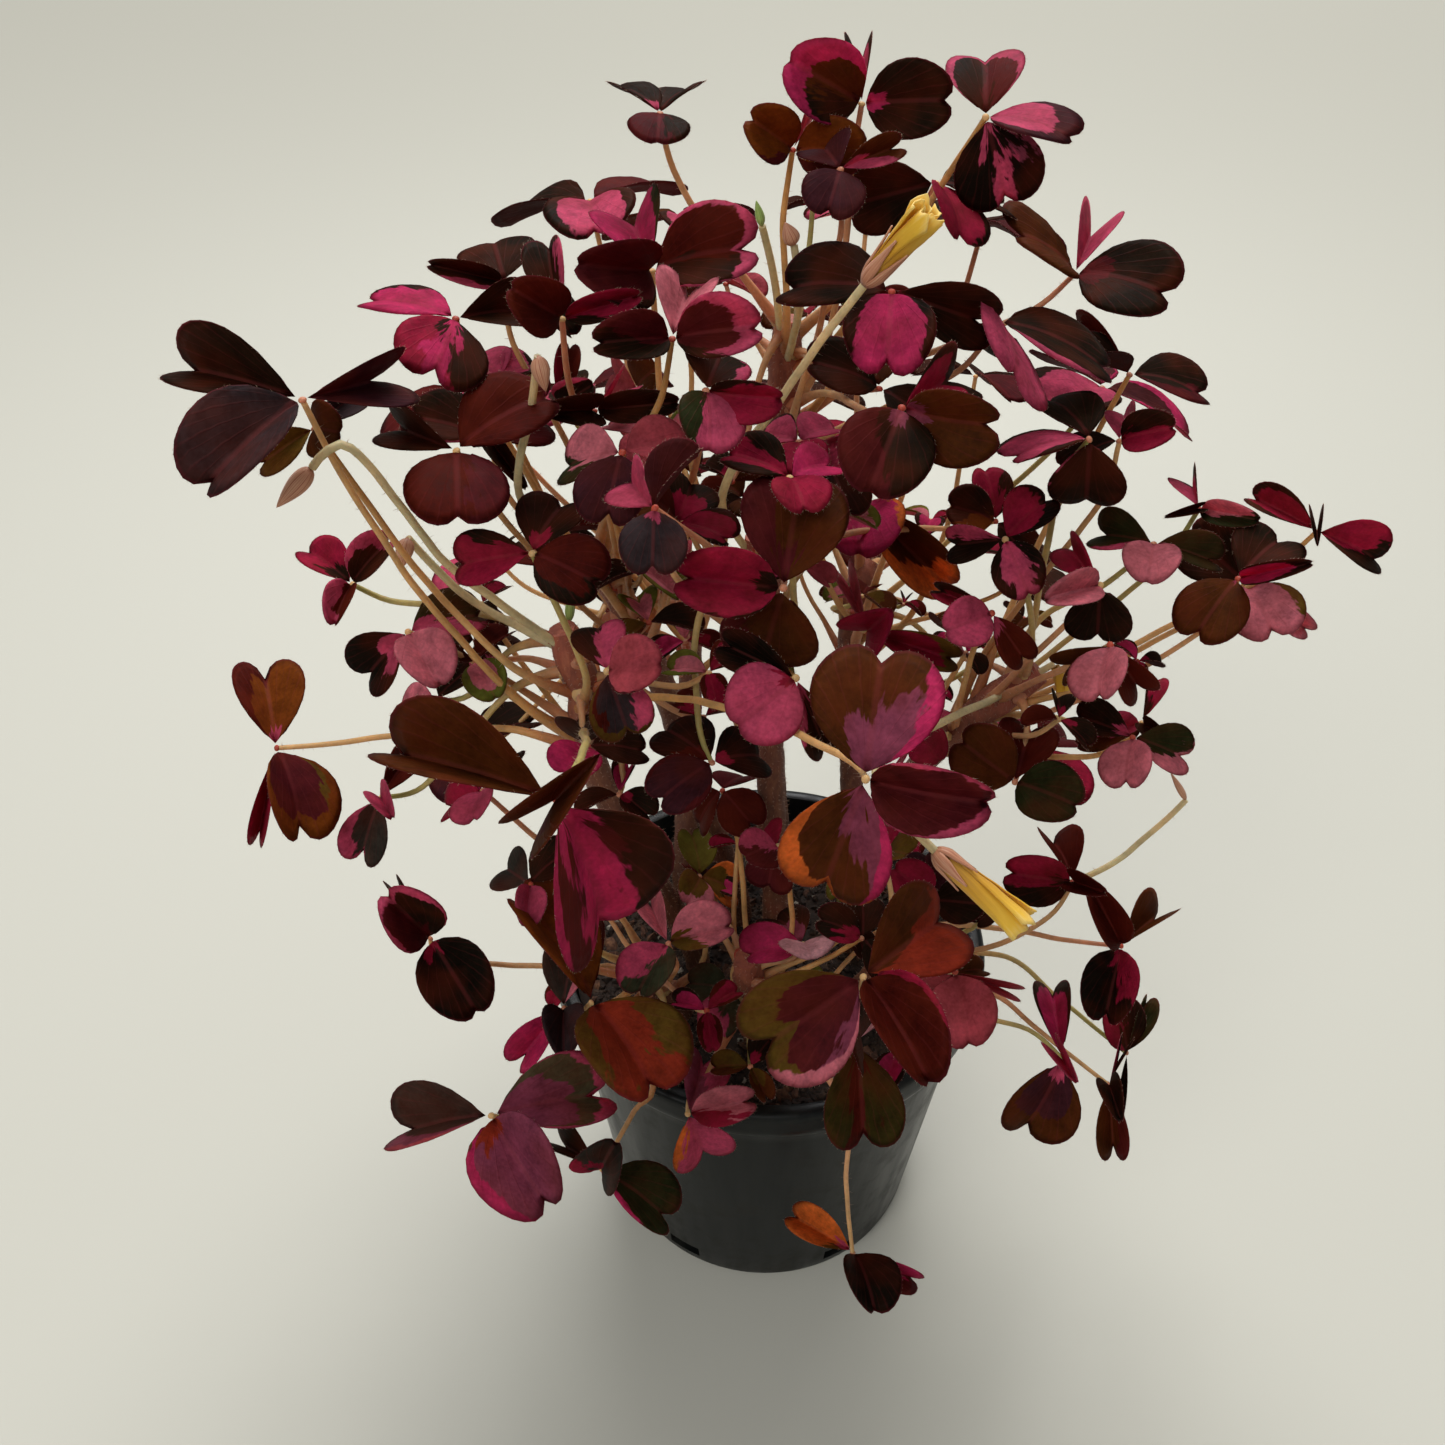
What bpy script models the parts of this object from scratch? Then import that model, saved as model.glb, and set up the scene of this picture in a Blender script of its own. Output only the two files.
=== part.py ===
# Potted volcanic sorrel: a small round nursery pot of soil with leafy stems and two closed blooms.
# The pot stands on z = 0 with its centre on the z axis, and the side seen in the photograph faces -y.
# Lengths are worked out in millimetres and every finished mesh is scaled to metres once.

import math
import random

import bpy
from mathutils import Matrix, Vector
from mathutils.bvhtree import BVHTree

MM = 0.001

# Driving dimensions in millimetres
POT_RIM_RADIUS = 30.0
POT_TOP_RADIUS = 28.9
POT_BASE_RADIUS = 22.8
POT_HEIGHT = 51.0
POT_WALL = 1.1
POT_FLOOR = 1.6
RIM_LIP_HEIGHT = 4.6
SLOT_COUNT = 6
SLOT_WIDTH = 5.0
SLOT_HEIGHT = 2.4
SOIL_BELOW_RIM = 4.0
SOIL_LUMP = 1.3
CLEARANCE = 0.3
STEM_HOLE_DEPTH = 14.0
STEM_RADIUS = 1.75
STEM_SIDES = 6
STALK_SIDES = 4
CROWN_RADIUS = 2.1
CROWN_REACH = 17.0
PETIOLE_RADIUS = 0.62
HUB_RADIUS = 0.95
BLADE_THICKNESS = 0.76
BLOOM_LENGTH = 9.8
BLOOM_TIP_RADIUS = 1.75
CALYX_LENGTH = 4.2
SHARP_ANGLE = 35.0

# Leaflet outline: how far along the midrib, and half the width there, as parts of the leaflet's length
SHOULDER = (0.3, 0.31)
BROADEST = (0.64, 0.44)
LOBE = (0.98, 0.25)
NOTCH_AT = 0.86
PLAIN_LEAFLET = 11.6
EYE_LEAN = 0.75
ROLL_TO_EYE = 0.4
TIP_PAST_NOTCH = 1.04
LEAST_FOLD = 16.0
MOST_FOLD = 30.0
MIDRIB_BEND_AT = 0.5
MIDRIB_BULGE = 0.07
MIN_LEAFLET = 6.5
MAX_LEAFLET = 15.5

# The camera that took the photograph, fitted to the pot's outline
PHOTO_SIDE = 1445
PHOTO_FOCAL = 1449.0
EYE = Vector((-6.4, -134.5, 204.7))
PITCH_DOWN = math.radians(40.5)

# A stem rises from a point in the soil through pixels of the photograph, each with how far back it is
STEMS = {
    "left": dict(foot=(-10, -3), through=[((598, 775), -14), ((583, 690), -14), ((562, 628), -14)]),
    "upper_left": dict(foot=(-4, 6), through=[((668, 700), 4), ((622, 600), 4), ((588, 545), 4)]),
    "top": dict(foot=(2, 10), through=[((765, 600), 12), ((782, 440), 13), ((787, 318), 14)]),
    "centre": dict(foot=(1, -5), through=[((768, 690), -6), ((764, 600), -8), ((758, 535), -8)]),
    "right": dict(foot=(12, 1), through=[((905, 790), 0), ((965, 722), -2), ((1040, 672), -2)]),
    "low_left": dict(foot=(-12, -11), through=[((652, 985), -13), ((640, 955), -15)]),
    "low_front": dict(foot=(-2, -15), through=[((750, 990), -15), ((746, 958), -17)]),
    "low_right": dict(foot=(12, -10), through=[((882, 962), -10), ((908, 925), -12)]),
    "back_left": dict(foot=(-12, 12), through=[((690, 640), 30), ((672, 560), 36)]),
    "back_right": dict(foot=(13, 12), through=[((850, 640), 30), ((872, 560), 36)]),
}

# Each leaf seen in the photograph: its stem, the pixel of its hub, how many millimetres it is back
# from the middle of the pot, and the pixels of the leaflet tips that can be made out. Where it was
# read, turns says how far each leaflet's face turns from the eye, folds how far its halves fold
# up (both in degrees), and long how much longer the leaflets are than the widest reach seen
LEAVES = [
    dict(stem="top", hub=(660, 113), back=12, lean=0.2, tips=[(613, 87), (694, 90), (657, 146)],
         turns=[-70, 70, 0], folds=[22, 22, 10]),
    dict(stem="top", hub=(862, 103), back=14, lean=1.3, tips=[(784, 58), (860, 64), (957, 100)],
         turns=[-5, 0, 5], folds=[40, 72, 33]),
    dict(stem="top", hub=(793, 149), back=12, lean=1.5, tips=[(740, 112), (812, 120), (869, 152)],
         turns=[-5, 10, 5], folds=[45, 78, 38]),
    dict(stem="top", hub=(840, 169), back=4, tips=[(903, 145), (825, 222), (822, 150)],
         turns=[5, 0, None], folds=[62, 20, 30]),
    dict(stem="top", hub=(986, 117), back=8, lean=1.5, tips=[(985, 58), (1076, 140), (1008, 208)],
         turns=[0, 66, 0], folds=[25, 12, 8]),
    dict(stem="top", hub=(936, 182), back=14, tips=[(850, 205), (962, 248), (1008, 214)],
         turns=[0, 62, 70], folds=[35, 18, 18]),
    dict(stem="top", hub=(1075, 273), back=16, lean=2.6, tips=[(1003, 231), (1091, 236), (1179, 299)],
         turns=[-67, 0, 40], folds=[14, 65, 15]),
    dict(stem="top", hub=(892, 291), back=-2, lean=1.2, tips=[(778, 292), (994, 326), (885, 385)],
         turns=[-55, 0, 0], folds=[20, 52, 28]),
    dict(stem="top", hub=(998, 321), back=6, tips=[(1010, 388), (1112, 376), (948, 318)],
         turns=[70, 68, 75], folds=[8, 10, 20]),
    dict(stem="top", hub=(902, 407), back=-18, tips=[(1008, 426), (868, 498), (950, 380)],
         turns=[-25, 0, 0], folds=[35, 25, 50]),
    dict(stem="top", hub=(880, 388), back=4, tips=[(803, 362), (850, 340)]),
    dict(stem="upper_left", hub=(652, 270), back=-2, tips=[(634, 226), (563, 262), (768, 246)],
         turns=[0, 5, 28], folds=[50, 58, 32]),
    dict(stem="upper_left", hub=(562, 318), back=-10, tips=[(548, 243), (503, 283), (645, 294)],
         turns=[14, 0, 0], folds=[55, 45, 70]),
    dict(stem="upper_left", hub=(672, 338), back=-14, tips=[(583, 345), (692, 290), (768, 328)],
         turns=[-8, 15, 12], folds=[58, 50, 50]),
    dict(stem="upper_left", hub=(456, 318), back=-6, tips=[(362, 303), (427, 388), (520, 312)],
         turns=[-68, 0, 15], folds=[14, 8, 55]),
    dict(stem="upper_left", hub=(505, 282), back=10, lean=0.2, tips=[(494, 243), (423, 263)],
         turns=[0, 0, 60], folds=[8, 72, 25]),
    dict(stem="upper_left", hub=(706, 390), back=-20, tips=[(722, 352), (708, 455), (786, 398)],
         turns=[0, 19, -15], folds=[12, 25, 55]),
    dict(stem="upper_left", hub=(594, 410), back=-6, lean=0.2, tips=[(683, 402), (532, 410), (610, 396)],
         turns=[0, 0, 0], folds=[68, 70, 70]),
    dict(stem="upper_left", hub=(560, 404), back=4, tips=[(531, 410), (570, 346), (598, 382)],
         turns=[0, 0, 0], folds=[62, 62, 50]),
    dict(stem="upper_left", hub=(502, 378), back=6, tips=[(476, 358), (538, 366), (480, 402)]),
    dict(stem="upper_left", hub=(490, 440), back=-4, tips=[(404, 418), (531, 414)],
         turns=[-40, 0, 0], folds=[25, 35, 76]),
    dict(stem="upper_left", hub=(456, 450), back=-16, long=1.35, tips=[(458, 530), (400, 428)],
         turns=[0, 0, None], folds=[10, 60, 25]),
    dict(stem="upper_left", hub=(622, 452), back=-22, tips=[(606, 530), (564, 470), (690, 446)]),
    dict(stem="upper_left", hub=(652, 436), back=-8, tips=[(700, 470), (606, 428), (640, 480)]),
    dict(stem="centre", hub=(676, 524), back=-18, tips=[(736, 546), (692, 482), (640, 494)]),
    dict(stem="centre", hub=(654, 508), back=-32, tips=[(652, 578), (632, 482)],
         turns=[0, None, None], folds=[10, 40, 60]),
    dict(stem="centre", hub=(783, 588), back=-30, tips=[(800, 480), (664, 576), (762, 663)],
         turns=[0, 0, 0], folds=[25, 50, 6]),
    dict(stem="centre", hub=(796, 678), back=-34, tips=[(718, 641), (734, 728), (826, 750)],
         turns=[0, 0, 0], folds=[56, 18, 64]),
    dict(stem="centre", hub=(799, 441), back=-10, tips=[(756, 444), (838, 430), (806, 480)]),
    dict(stem="centre", hub=(790, 477), back=-20, tips=[(726, 456), (836, 466)]),
    dict(stem="centre", hub=(745, 498), back=6, tips=[(712, 480), (764, 520), (700, 530)]),
    dict(stem="centre", hub=(712, 762), back=-24, tips=[(653, 806), (762, 757), (664, 730)]),
    dict(stem="centre", hub=(862, 503), back=12, tips=[(858, 568), (946, 586)],
         turns=[0, 0, None], folds=[36, 64, 25]),
    dict(stem="centre", hub=(996, 521), back=14, tips=[(944, 505), (984, 468)]),
    dict(stem="centre", hub=(867, 631), back=-6, tips=[(848, 582), (896, 606), (956, 660)],
         turns=[0, 0, 0], folds=[74, 55, 68]),
    dict(stem="centre", hub=(638, 388), back=12, tips=[(612, 370), (660, 366)]),
    dict(stem="centre", hub=(832, 472), back=-12, tips=[(850, 520), (824, 440)]),
    dict(stem="left", hub=(302, 399), back=-22, lean=1.5, tips=[(182, 368), (198, 502), (377, 378)],
         turns=[-15, -32, -5], folds=[58, 44, 66]),
    dict(stem="left", hub=(314, 428), back=-18, tips=[(257, 468), (352, 396)],
         turns=[-10, 0, 0], folds=[51, 60, 30]),
    dict(stem="left", hub=(352, 584), back=-6, lean=1.6, tips=[(306, 551), (395, 536), (332, 632)],
         turns=[-23, 21, -16], folds=[41, 52, 64]),
    dict(stem="left", hub=(408, 632), back=-20, lean=2.0, tips=[(366, 680), (442, 691), (484, 616)],
         turns=[-18, 12, 32], folds=[36, 42, 32]),
    dict(stem="left", hub=(476, 640), back=-6, tips=[(510, 634), (504, 664)],
         turns=[29, -30, 0], folds=[29, 30, 25]),
    dict(stem="left", hub=(276, 748), back=-12, lean=2.6, tips=[(262, 666), (303, 849), (259, 835)],
         turns=[-8, 32, -3], folds=[40, 33, 79]),
    dict(stem="left", hub=(532, 553), back=-24, lean=0.3, tips=[(458, 565), (606, 590), (566, 502)],
         turns=[-10, 20, 27], folds=[40, 20, 25]),
    dict(stem="left", hub=(607, 671), back=-34, tips=[(598, 628), (664, 664), (630, 738)]),
    dict(stem="left", hub=(555, 800), back=-58, lean=1.5, long=1.15,
         tips=[(392, 753), (603, 931), (606, 748)],
         turns=[-18, 30, 0], folds=[62, 30, 75]),
    dict(stem="left", hub=(588, 746), back=-20, tips=[(562, 778), (574, 718)]),
    dict(stem="left", hub=(437, 700), back=-10, tips=[(402, 716), (416, 740)]),
    dict(stem="left", hub=(865, 779), back=-52, lean=1.5, tips=[(884, 646), (1000, 804), (822, 893)],
         turns=[0, -12, 0], folds=[15, 54, 25]),
    dict(stem="left", hub=(380, 797), back=-14, tips=[(408, 756), (360, 864), (397, 826)],
         turns=[0, -11, 0], folds=[58, 40, 68]),
    dict(stem="left", hub=(610, 552), back=6, tips=[(626, 606), (650, 500)]),
    dict(stem="right", hub=(1130, 374), back=4, tips=[(1075, 322), (1208, 398), (1066, 366)],
         turns=[0, 58, -70], folds=[68, 20, 50]),
    dict(stem="right", hub=(1090, 439), back=-8, tips=[(1003, 463), (1045, 399), (1086, 502)],
         turns=[-72, -50, 0], folds=[12, 20, 20]),
    dict(stem="right", hub=(1119, 440), back=2, tips=[(1180, 427), (1134, 422)],
         turns=[10, 60, None], folds=[50, 60, 30]),
    dict(stem="right", hub=(1317, 531), back=4, lean=1.2, tips=[(1249, 497), (1377, 562)],
         turns=[-15, 24, 0], folds=[62, 48, 80]),
    dict(stem="right", hub=(1238, 578), back=-6, lean=2.0, tips=[(1284, 538), (1318, 562), (1191, 643)],
         turns=[21, 0, -14], folds=[21, 76, 15]),
    dict(stem="right", hub=(1246, 583), back=4, tips=[(1277, 643), (1308, 631)],
         turns=[19, 0, 0], folds=[19, 68, 30]),
    dict(stem="right", hub=(1154, 543), back=0, lean=1.5, tips=[(1098, 535), (1146, 586), (1221, 566)],
         turns=[-17, 0, 23], folds=[47, 25, 50]),
    dict(stem="right", hub=(1199, 508), back=6, tips=[(1193, 486), (1262, 521), (1157, 519)],
         turns=[14, 0, 0], folds=[62, 65, 80]),
    dict(stem="right", hub=(1100, 585), back=-10, lean=1.5, long=1.2,
         tips=[(1097, 642), (1040, 602), (1071, 547)],
         turns=[0, -5, 11], folds=[10, 63, 56]),
    dict(stem="right", hub=(1005, 539), back=-10, tips=[(952, 545), (1050, 498), (1030, 597)],
         turns=[0, 24, 0], folds=[50, 30, 20]),
    dict(stem="right", hub=(992, 613), back=-14, tips=[(933, 588), (942, 632), (1026, 662)],
         turns=[0, 0, 0], folds=[70, 25, 50]),
    dict(stem="right", hub=(1110, 645), back=-18, lean=2.0, long=1.15,
         tips=[(1099, 706), (1068, 666), (1140, 690)],
         turns=[-27, 0, 0], folds=[27, 60, 58]),
    dict(stem="right", hub=(1133, 737), back=-10, lean=2.0, tips=[(1074, 716), (1126, 793), (1188, 760)],
         turns=[-14, -22, 17], folds=[53, 22, 38]),
    dict(stem="right", hub=(1142, 722), back=0, tips=[(1146, 688), (1074, 746), (1186, 762)],
         turns=[-21, -3, 0], folds=[68, 62, 75]),
    dict(stem="right", hub=(1015, 782), back=-14, lean=2.0, tips=[(954, 736), (1030, 728), (1082, 808)],
         turns=[0, 0, None], folds=[25, 35, 25]),
    dict(stem="right", hub=(922, 737), back=-10, tips=[(958, 716), (904, 764), (942, 764)]),
    dict(stem="low_right", hub=(1073, 881), back=-10, tips=[(998, 870), (1050, 840), (1118, 897)],
         turns=[10, -27, 0], folds=[48, 53, 70]),
    dict(stem="low_right", hub=(1122, 946), back=-12, lean=2.0,
         tips=[(1160, 918), (1087, 880), (1103, 1030)],
         turns=[20, -4, -5], folds=[63, 65, 50]),
    dict(stem="low_right", hub=(1127, 1053), back=-10, tips=[(1112, 996), (1148, 996)],
         turns=[-27, -12, 0], folds=[25, 70, 82]),
    dict(stem="low_right", hub=(1062, 1059), back=-22, lean=2.6, long=1.1,
         tips=[(1052, 992), (1020, 1134), (1085, 1095)],
         turns=[0, 27, 0], folds=[63, 27, 78]),
    dict(stem="low_right", hub=(1109, 1084), back=-18, lean=2.0,
         tips=[(1114, 1158), (1118, 1061), (1124, 1130)],
         turns=[0, 0, 0], folds=[61, 80, 70]),
    dict(stem="low_right", hub=(955, 972), back=-32, tips=[(970, 1050), (1008, 990), (922, 1008)],
         turns=[0, 0, 9], folds=[25, 78, 25]),
    dict(stem="low_right", hub=(932, 900), back=-16, tips=[(925, 852), (892, 866), (986, 905)]),
    dict(stem="low_right", hub=(884, 858), back=-26, tips=[(824, 882), (878, 830), (912, 856)]),
    dict(stem="low_front", hub=(863, 976), back=-44, lean=1.5,
         tips=[(942, 919), (752, 1051), (933, 1090)],
         turns=[0, 12, 18], folds=[38, 27, 55]),
    dict(stem="low_front", hub=(857, 1042), back=-33, tips=[(864, 1147), (842, 1006), (884, 1008)],
         turns=[5, -53, 44], folds=[37, 25, 25]),
    dict(stem="low_front", hub=(862, 938), back=-16, tips=[(814, 918), (860, 895)]),
    dict(stem="low_front", hub=(803, 943), back=-14, tips=[(742, 958), (772, 918), (812, 962)]),
    dict(stem="low_front", hub=(778, 846), back=-17, tips=[(742, 858), (762, 834), (768, 890)]),
    dict(stem="low_front", hub=(700, 876), back=0, tips=[(688, 828), (738, 894), (684, 906)]),
    dict(stem="low_front", hub=(732, 990), back=-12, tips=[(686, 984), (714, 1040)]),
    dict(stem="low_front", hub=(688, 1114), back=-33, lean=1.5,
         tips=[(704, 1060), (762, 1098), (706, 1158)],
         turns=[-11, 0, 0], folds=[46, 55, 30]),
    dict(stem="low_front", hub=(853, 1252), back=-37, lean=2.0,
         tips=[(790, 1214), (876, 1318), (918, 1280)],
         turns=[-6, 28, -10], folds=[58, 40, 65]),
    dict(stem="low_front", hub=(722, 790), back=-4, tips=[(758, 832), (748, 778), (700, 826)]),
    dict(stem="low_left", hub=(431, 938), back=-12, lean=2.6, tips=[(377, 885), (480, 1018), (405, 900)],
         turns=[0, 0, 0], folds=[52, 42, 80]),
    dict(stem="low_left", hub=(530, 884), back=-24, tips=[(506, 868), (526, 933)],
         turns=[0, 6, None], folds=[25, 55, 25]),
    dict(stem="low_left", hub=(668, 943), back=-16, tips=[(635, 1002), (736, 925), (648, 900)],
         turns=[-24, 24, 0], folds=[36, 41, 60]),
    dict(stem="low_left", hub=(592, 1002), back=-33, long=1.1, tips=[(661, 1104), (566, 960)],
         turns=[27, -20, None], folds=[28, 55, 25]),
    dict(stem="low_left", hub=(563, 1008), back=-30, tips=[(581, 936), (518, 1065), (564, 1064)],
         turns=[21, -9, 0], folds=[42, 60, 58]),
    dict(stem="low_left", hub=(491, 1115), back=-45, lean=2.0,
         tips=[(401, 1135), (613, 1093), (557, 1218)],
         turns=[-24, 15, -9], folds=[50, 46, 50]),
    dict(stem="low_left", hub=(601, 1170), back=-38, lean=1.5,
         tips=[(561, 1145), (622, 1131), (672, 1225)],
         turns=[-10, 6, 30], folds=[66, 54, 31]),
    dict(stem="low_left", hub=(482, 790), back=-16, tips=[(446, 812), (474, 826)]),
]

# Leaves that the photograph doesn't show, on the back and inside: a golden-angle spread, seeded
BACK_LEAVES_EACH = 8
BACK_LEAFLET = 10.5
PLANT_CENTRE = Vector((0.0, 6.0, 102.0))
PLANT_RADIUS = 50.0
SEED = 27

# Blooms: pixels and distance back of the peduncle's path, ending at the base of the flower, and of its tip
BLOOMS = {
    "upper": dict(stem="centre", path=[((722, 500), -10), ((785, 392), -13), ((866, 283), -16)],
                  tip=(938, 200), tip_back=-18),
    "lower": dict(stem="right", path=[((905, 742), -26), ((878, 782), -44), ((936, 852), -48)],
                  tip=(1024, 926), tip_back=-52),
}

# Thin flower stalks that carry buds or have shed their flowers
STALKS = [
    dict(stem="left", path=[((455, 570), -20), ((400, 503), -24), ((345, 445), -27), ((312, 468), -28)],
         bud=(276, 508), bud_back=-29),
    dict(stem="left", path=[((470, 600), -14), ((408, 538), -16)], bud=(400, 570), bud_back=-18),
    dict(stem="upper_left", path=[((524, 505), -12), ((530, 420), -13), ((538, 356), -14)],
         bud=(546, 392), bud_back=-15),
    dict(stem="top", path=[((799, 300), 6), ((794, 245), 6)], bud=(785, 222), bud_back=6),
    dict(stem="low_right", path=[((1078, 880), -6), ((1140, 842), -5), ((1186, 800), -4)],
         bud=(1168, 768), bud_back=-4),
]


def material(name, colour, roughness):
    """A plain Principled material, for telling the sub-parts apart."""
    made = bpy.data.materials.new(name)
    made.use_nodes = True
    shader = made.node_tree.nodes["Principled BSDF"]
    shader.inputs["Base Color"].default_value = (*colour, 1.0)
    shader.inputs["Roughness"].default_value = roughness
    return made


def add_object(name, verts, faces, look):
    """An object of a mesh given in millimetres."""
    mesh = bpy.data.meshes.new(name)
    mesh.from_pydata([tuple(Vector(v) * MM) for v in verts], [], faces)
    mesh.validate()
    mesh.update()
    obj = bpy.data.objects.new(name, mesh)
    bpy.context.scene.collection.objects.link(obj)
    obj.data.materials.append(look)
    return obj


# Photograph and space

def photo_ray(pixel):
    """Direction from the eye through a pixel."""
    forward = Vector((0.0, math.cos(PITCH_DOWN), -math.sin(PITCH_DOWN)))
    upward = Vector((0.0, math.sin(PITCH_DOWN), math.cos(PITCH_DOWN)))
    across = (pixel[0] - PHOTO_SIDE / 2) / PHOTO_FOCAL
    down = (pixel[1] - PHOTO_SIDE / 2) / PHOTO_FOCAL
    return forward + Vector((across, 0.0, 0.0)) - upward * down


def photo_point(pixel, back):
    """The point seen at a pixel that is so many millimetres back from the pot's middle."""
    ray = photo_ray(pixel)
    return EYE + ray * ((back - EYE.y) / ray.y)


def natural_normal(hub, lean):
    """Leaves face up and a little outwards, and those that the photograph shows lean to its eye."""
    outward = Vector((hub.x, hub.y, 0.0)) / 60.0
    facing = (Vector((0.0, 0.0, 1.0)) + outward * 0.45).normalized()
    return (facing + (EYE - hub).normalized() * lean).normalized()


def tip_choices(hub, pixel, length):
    """The near and far directions in which a leaflet of this length ends at the pixel."""
    ray = photo_ray(pixel).normalized()
    gap = EYE - hub
    along = ray.dot(gap)
    rest = along * along - gap.length_squared + length * length
    if rest <= 0.0:
        return [(gap - ray * along).normalized()]
    root = math.sqrt(rest)
    near = (gap + ray * (-along - root)).normalized()
    far = (gap + ray * (-along + root)).normalized()
    return [near, far]


def pose_score(axes, facing):
    """Leaflets lie about a third of a turn apart, in a plane that faces as leaves do."""
    spread = 0.0
    for i in range(len(axes)):
        for j in range(i):
            spread += (axes[i].dot(axes[j]) + 0.45) ** 2
    tilt = sum(axis.dot(facing) ** 2 for axis in axes)
    rise = sum(max(0.0, axis.dot(facing) - 0.15) for axis in axes)
    return spread + 0.55 * tilt + 0.5 * rise


def leaf_axes(hub, tips, length, facing):
    """Leaflet directions for one leaf: of the near and far choices, the most leaf-like set."""
    sets = [[]]
    for pixel in tips:
        sets = [chosen + [way] for chosen in sets for way in tip_choices(hub, pixel, length)]
    sets.sort(key=lambda axes: pose_score(axes, facing))
    axes = sets[0]
    if len(axes) == 2:
        third = -(axes[0] + axes[1]) - facing * 0.3
        if third.length < 0.2:
            third = axes[0].cross(facing)
        axes.append(third.normalized())
    return axes


def leaf_frame(axes, facing):
    """The leaf's own normal, and its leaflets in order around it."""
    normal = Vector((0.0, 0.0, 0.0))
    for i in range(3):
        for j in range(i):
            turn = axes[i].cross(axes[j])
            if turn.dot(facing) < 0.0:
                turn = -turn
            normal += turn
    normal = (normal + facing * 0.35).normalized()
    first = (axes[0] - normal * axes[0].dot(normal)).normalized()
    second = normal.cross(first)

    def angle(axis):
        return math.atan2(axis.dot(second), axis.dot(first)) % math.tau

    ordered = sorted(axes, key=angle)
    angles = [angle(axis) for axis in ordered]
    for k in range(1, 3):
        angles[k] = max(angles[k], angles[k - 1] + 0.5)
    angles[2] = min(angles[2], angles[0] + math.tau - 0.5)
    return normal, first, second, ordered, angles


def leaflet_sides(pose, k):
    """The way that a leaflet's face looks, and the way across it."""
    axis = pose["frame"][3][k]
    to_eye = (EYE - pose["hub"]).normalized()
    turn = pose["turns"][k]
    if turn is None:
        up = pose["frame"][0] + to_eye * pose["roll"]
        up = up - axis * up.dot(axis)
        if up.length < 0.25:
            up = up + pose["facing"] * 0.5
            up = up - axis * up.dot(axis)
        up.normalize()
        return up, up.cross(axis)
    plain = (to_eye - axis * to_eye.dot(axis)).normalized()
    up = plain * math.cos(math.radians(turn)) + plain.cross(axis) * math.sin(math.radians(turn))
    return up, up.cross(axis)


def leaf_mesh(pose, grow=0.0):
    """One closed mesh of three folded leaflets and the petiole down to its stem."""
    hub, length = pose["hub"], pose["length"]
    normal, first, second, axes, angles = pose["frame"]
    thick = BLADE_THICKNESS + 2.0 * grow
    verts = []
    faces = []
    corners = []
    ring_radius = HUB_RADIUS + grow
    for k in range(3):
        following = angles[(k + 1) % 3] + (math.tau if k == 2 else 0.0)
        middle = 0.5 * (angles[k] + following)
        corners.append(hub + (first * math.cos(middle) + second * math.sin(middle)) * ring_radius)
    for corner in corners:
        verts.append(corner + normal * grow)
    for corner in corners:
        verts.append(corner + normal * (grow - thick))
    faces.append((0, 1, 2))
    for k in range(3):
        axis = axes[k]
        up, side = leaflet_sides(pose, k)
        fold = pose["folds"][k]
        reach = length + grow

        def place(along, across):
            rise = MIDRIB_BULGE * length * 4.0 * along * (1.0 - along)
            width = across * length + math.copysign(grow, across) if across else 0.0
            out = side * (width * math.cos(fold)) + up * (abs(width) * math.sin(fold))
            return hub + axis * (along * reach) + up * rise + out

        right_corner = (k + 2) % 3
        left_corner = k
        stations = [BROADEST, LOBE] if length < PLAIN_LEAFLET else [SHOULDER, BROADEST, LOBE]
        outline = [place(along, -across) for along, across in stations]
        outline.append(place(NOTCH_AT, 0.0))
        outline += [place(along, across) for along, across in reversed(stations)]
        outline.append(place(MIDRIB_BEND_AT, 0.0))
        count = len(outline)
        start = len(verts)
        for point in outline:
            verts.append(point + up * grow)
        for point in outline:
            verts.append(point + up * (grow - thick))
        top = [right_corner] + list(range(start, start + count - 1)) + [left_corner]
        low = [right_corner + 3] + list(range(start + count, start + 2 * count - 1)) + [left_corner + 3]
        bend = start + count - 1
        for i in range(count):
            faces.append((top[i], top[i + 1], bend))
            faces.append((low[i + 1], low[i], bend + count))
            faces.append((top[i + 1], top[i], low[i]))
            faces.append((top[i + 1], low[i], low[i + 1]))
        faces.append((top[count], top[0], bend))
        faces.append((low[0], low[count], bend + count))
    ring = [3, 4, 5]
    path = pose["path"]
    for step in range(1, len(path)):
        here = path[step]
        before = path[step - 1]
        after = path[min(step + 1, len(path) - 1)]
        way = (after - before).normalized()
        if step == 1:
            old_way = -normal
            old_arms = [corner - hub for corner in corners]
        turn = old_way.rotation_difference(way)
        arms = [turn @ arm for arm in old_arms]
        arms = [(arm - way * arm.dot(way)).normalized() for arm in arms]
        fresh = []
        for arm in arms:
            fresh.append(len(verts))
            verts.append(here + arm * (PETIOLE_RADIUS + grow))
        for i in range(3):
            j = (i + 1) % 3
            faces.append((ring[i], fresh[i], fresh[j]))
            faces.append((ring[i], fresh[j], ring[j]))
        ring = fresh
        old_way = way
        old_arms = arms
    faces.append((ring[2], ring[1], ring[0]))
    return verts, faces


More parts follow.
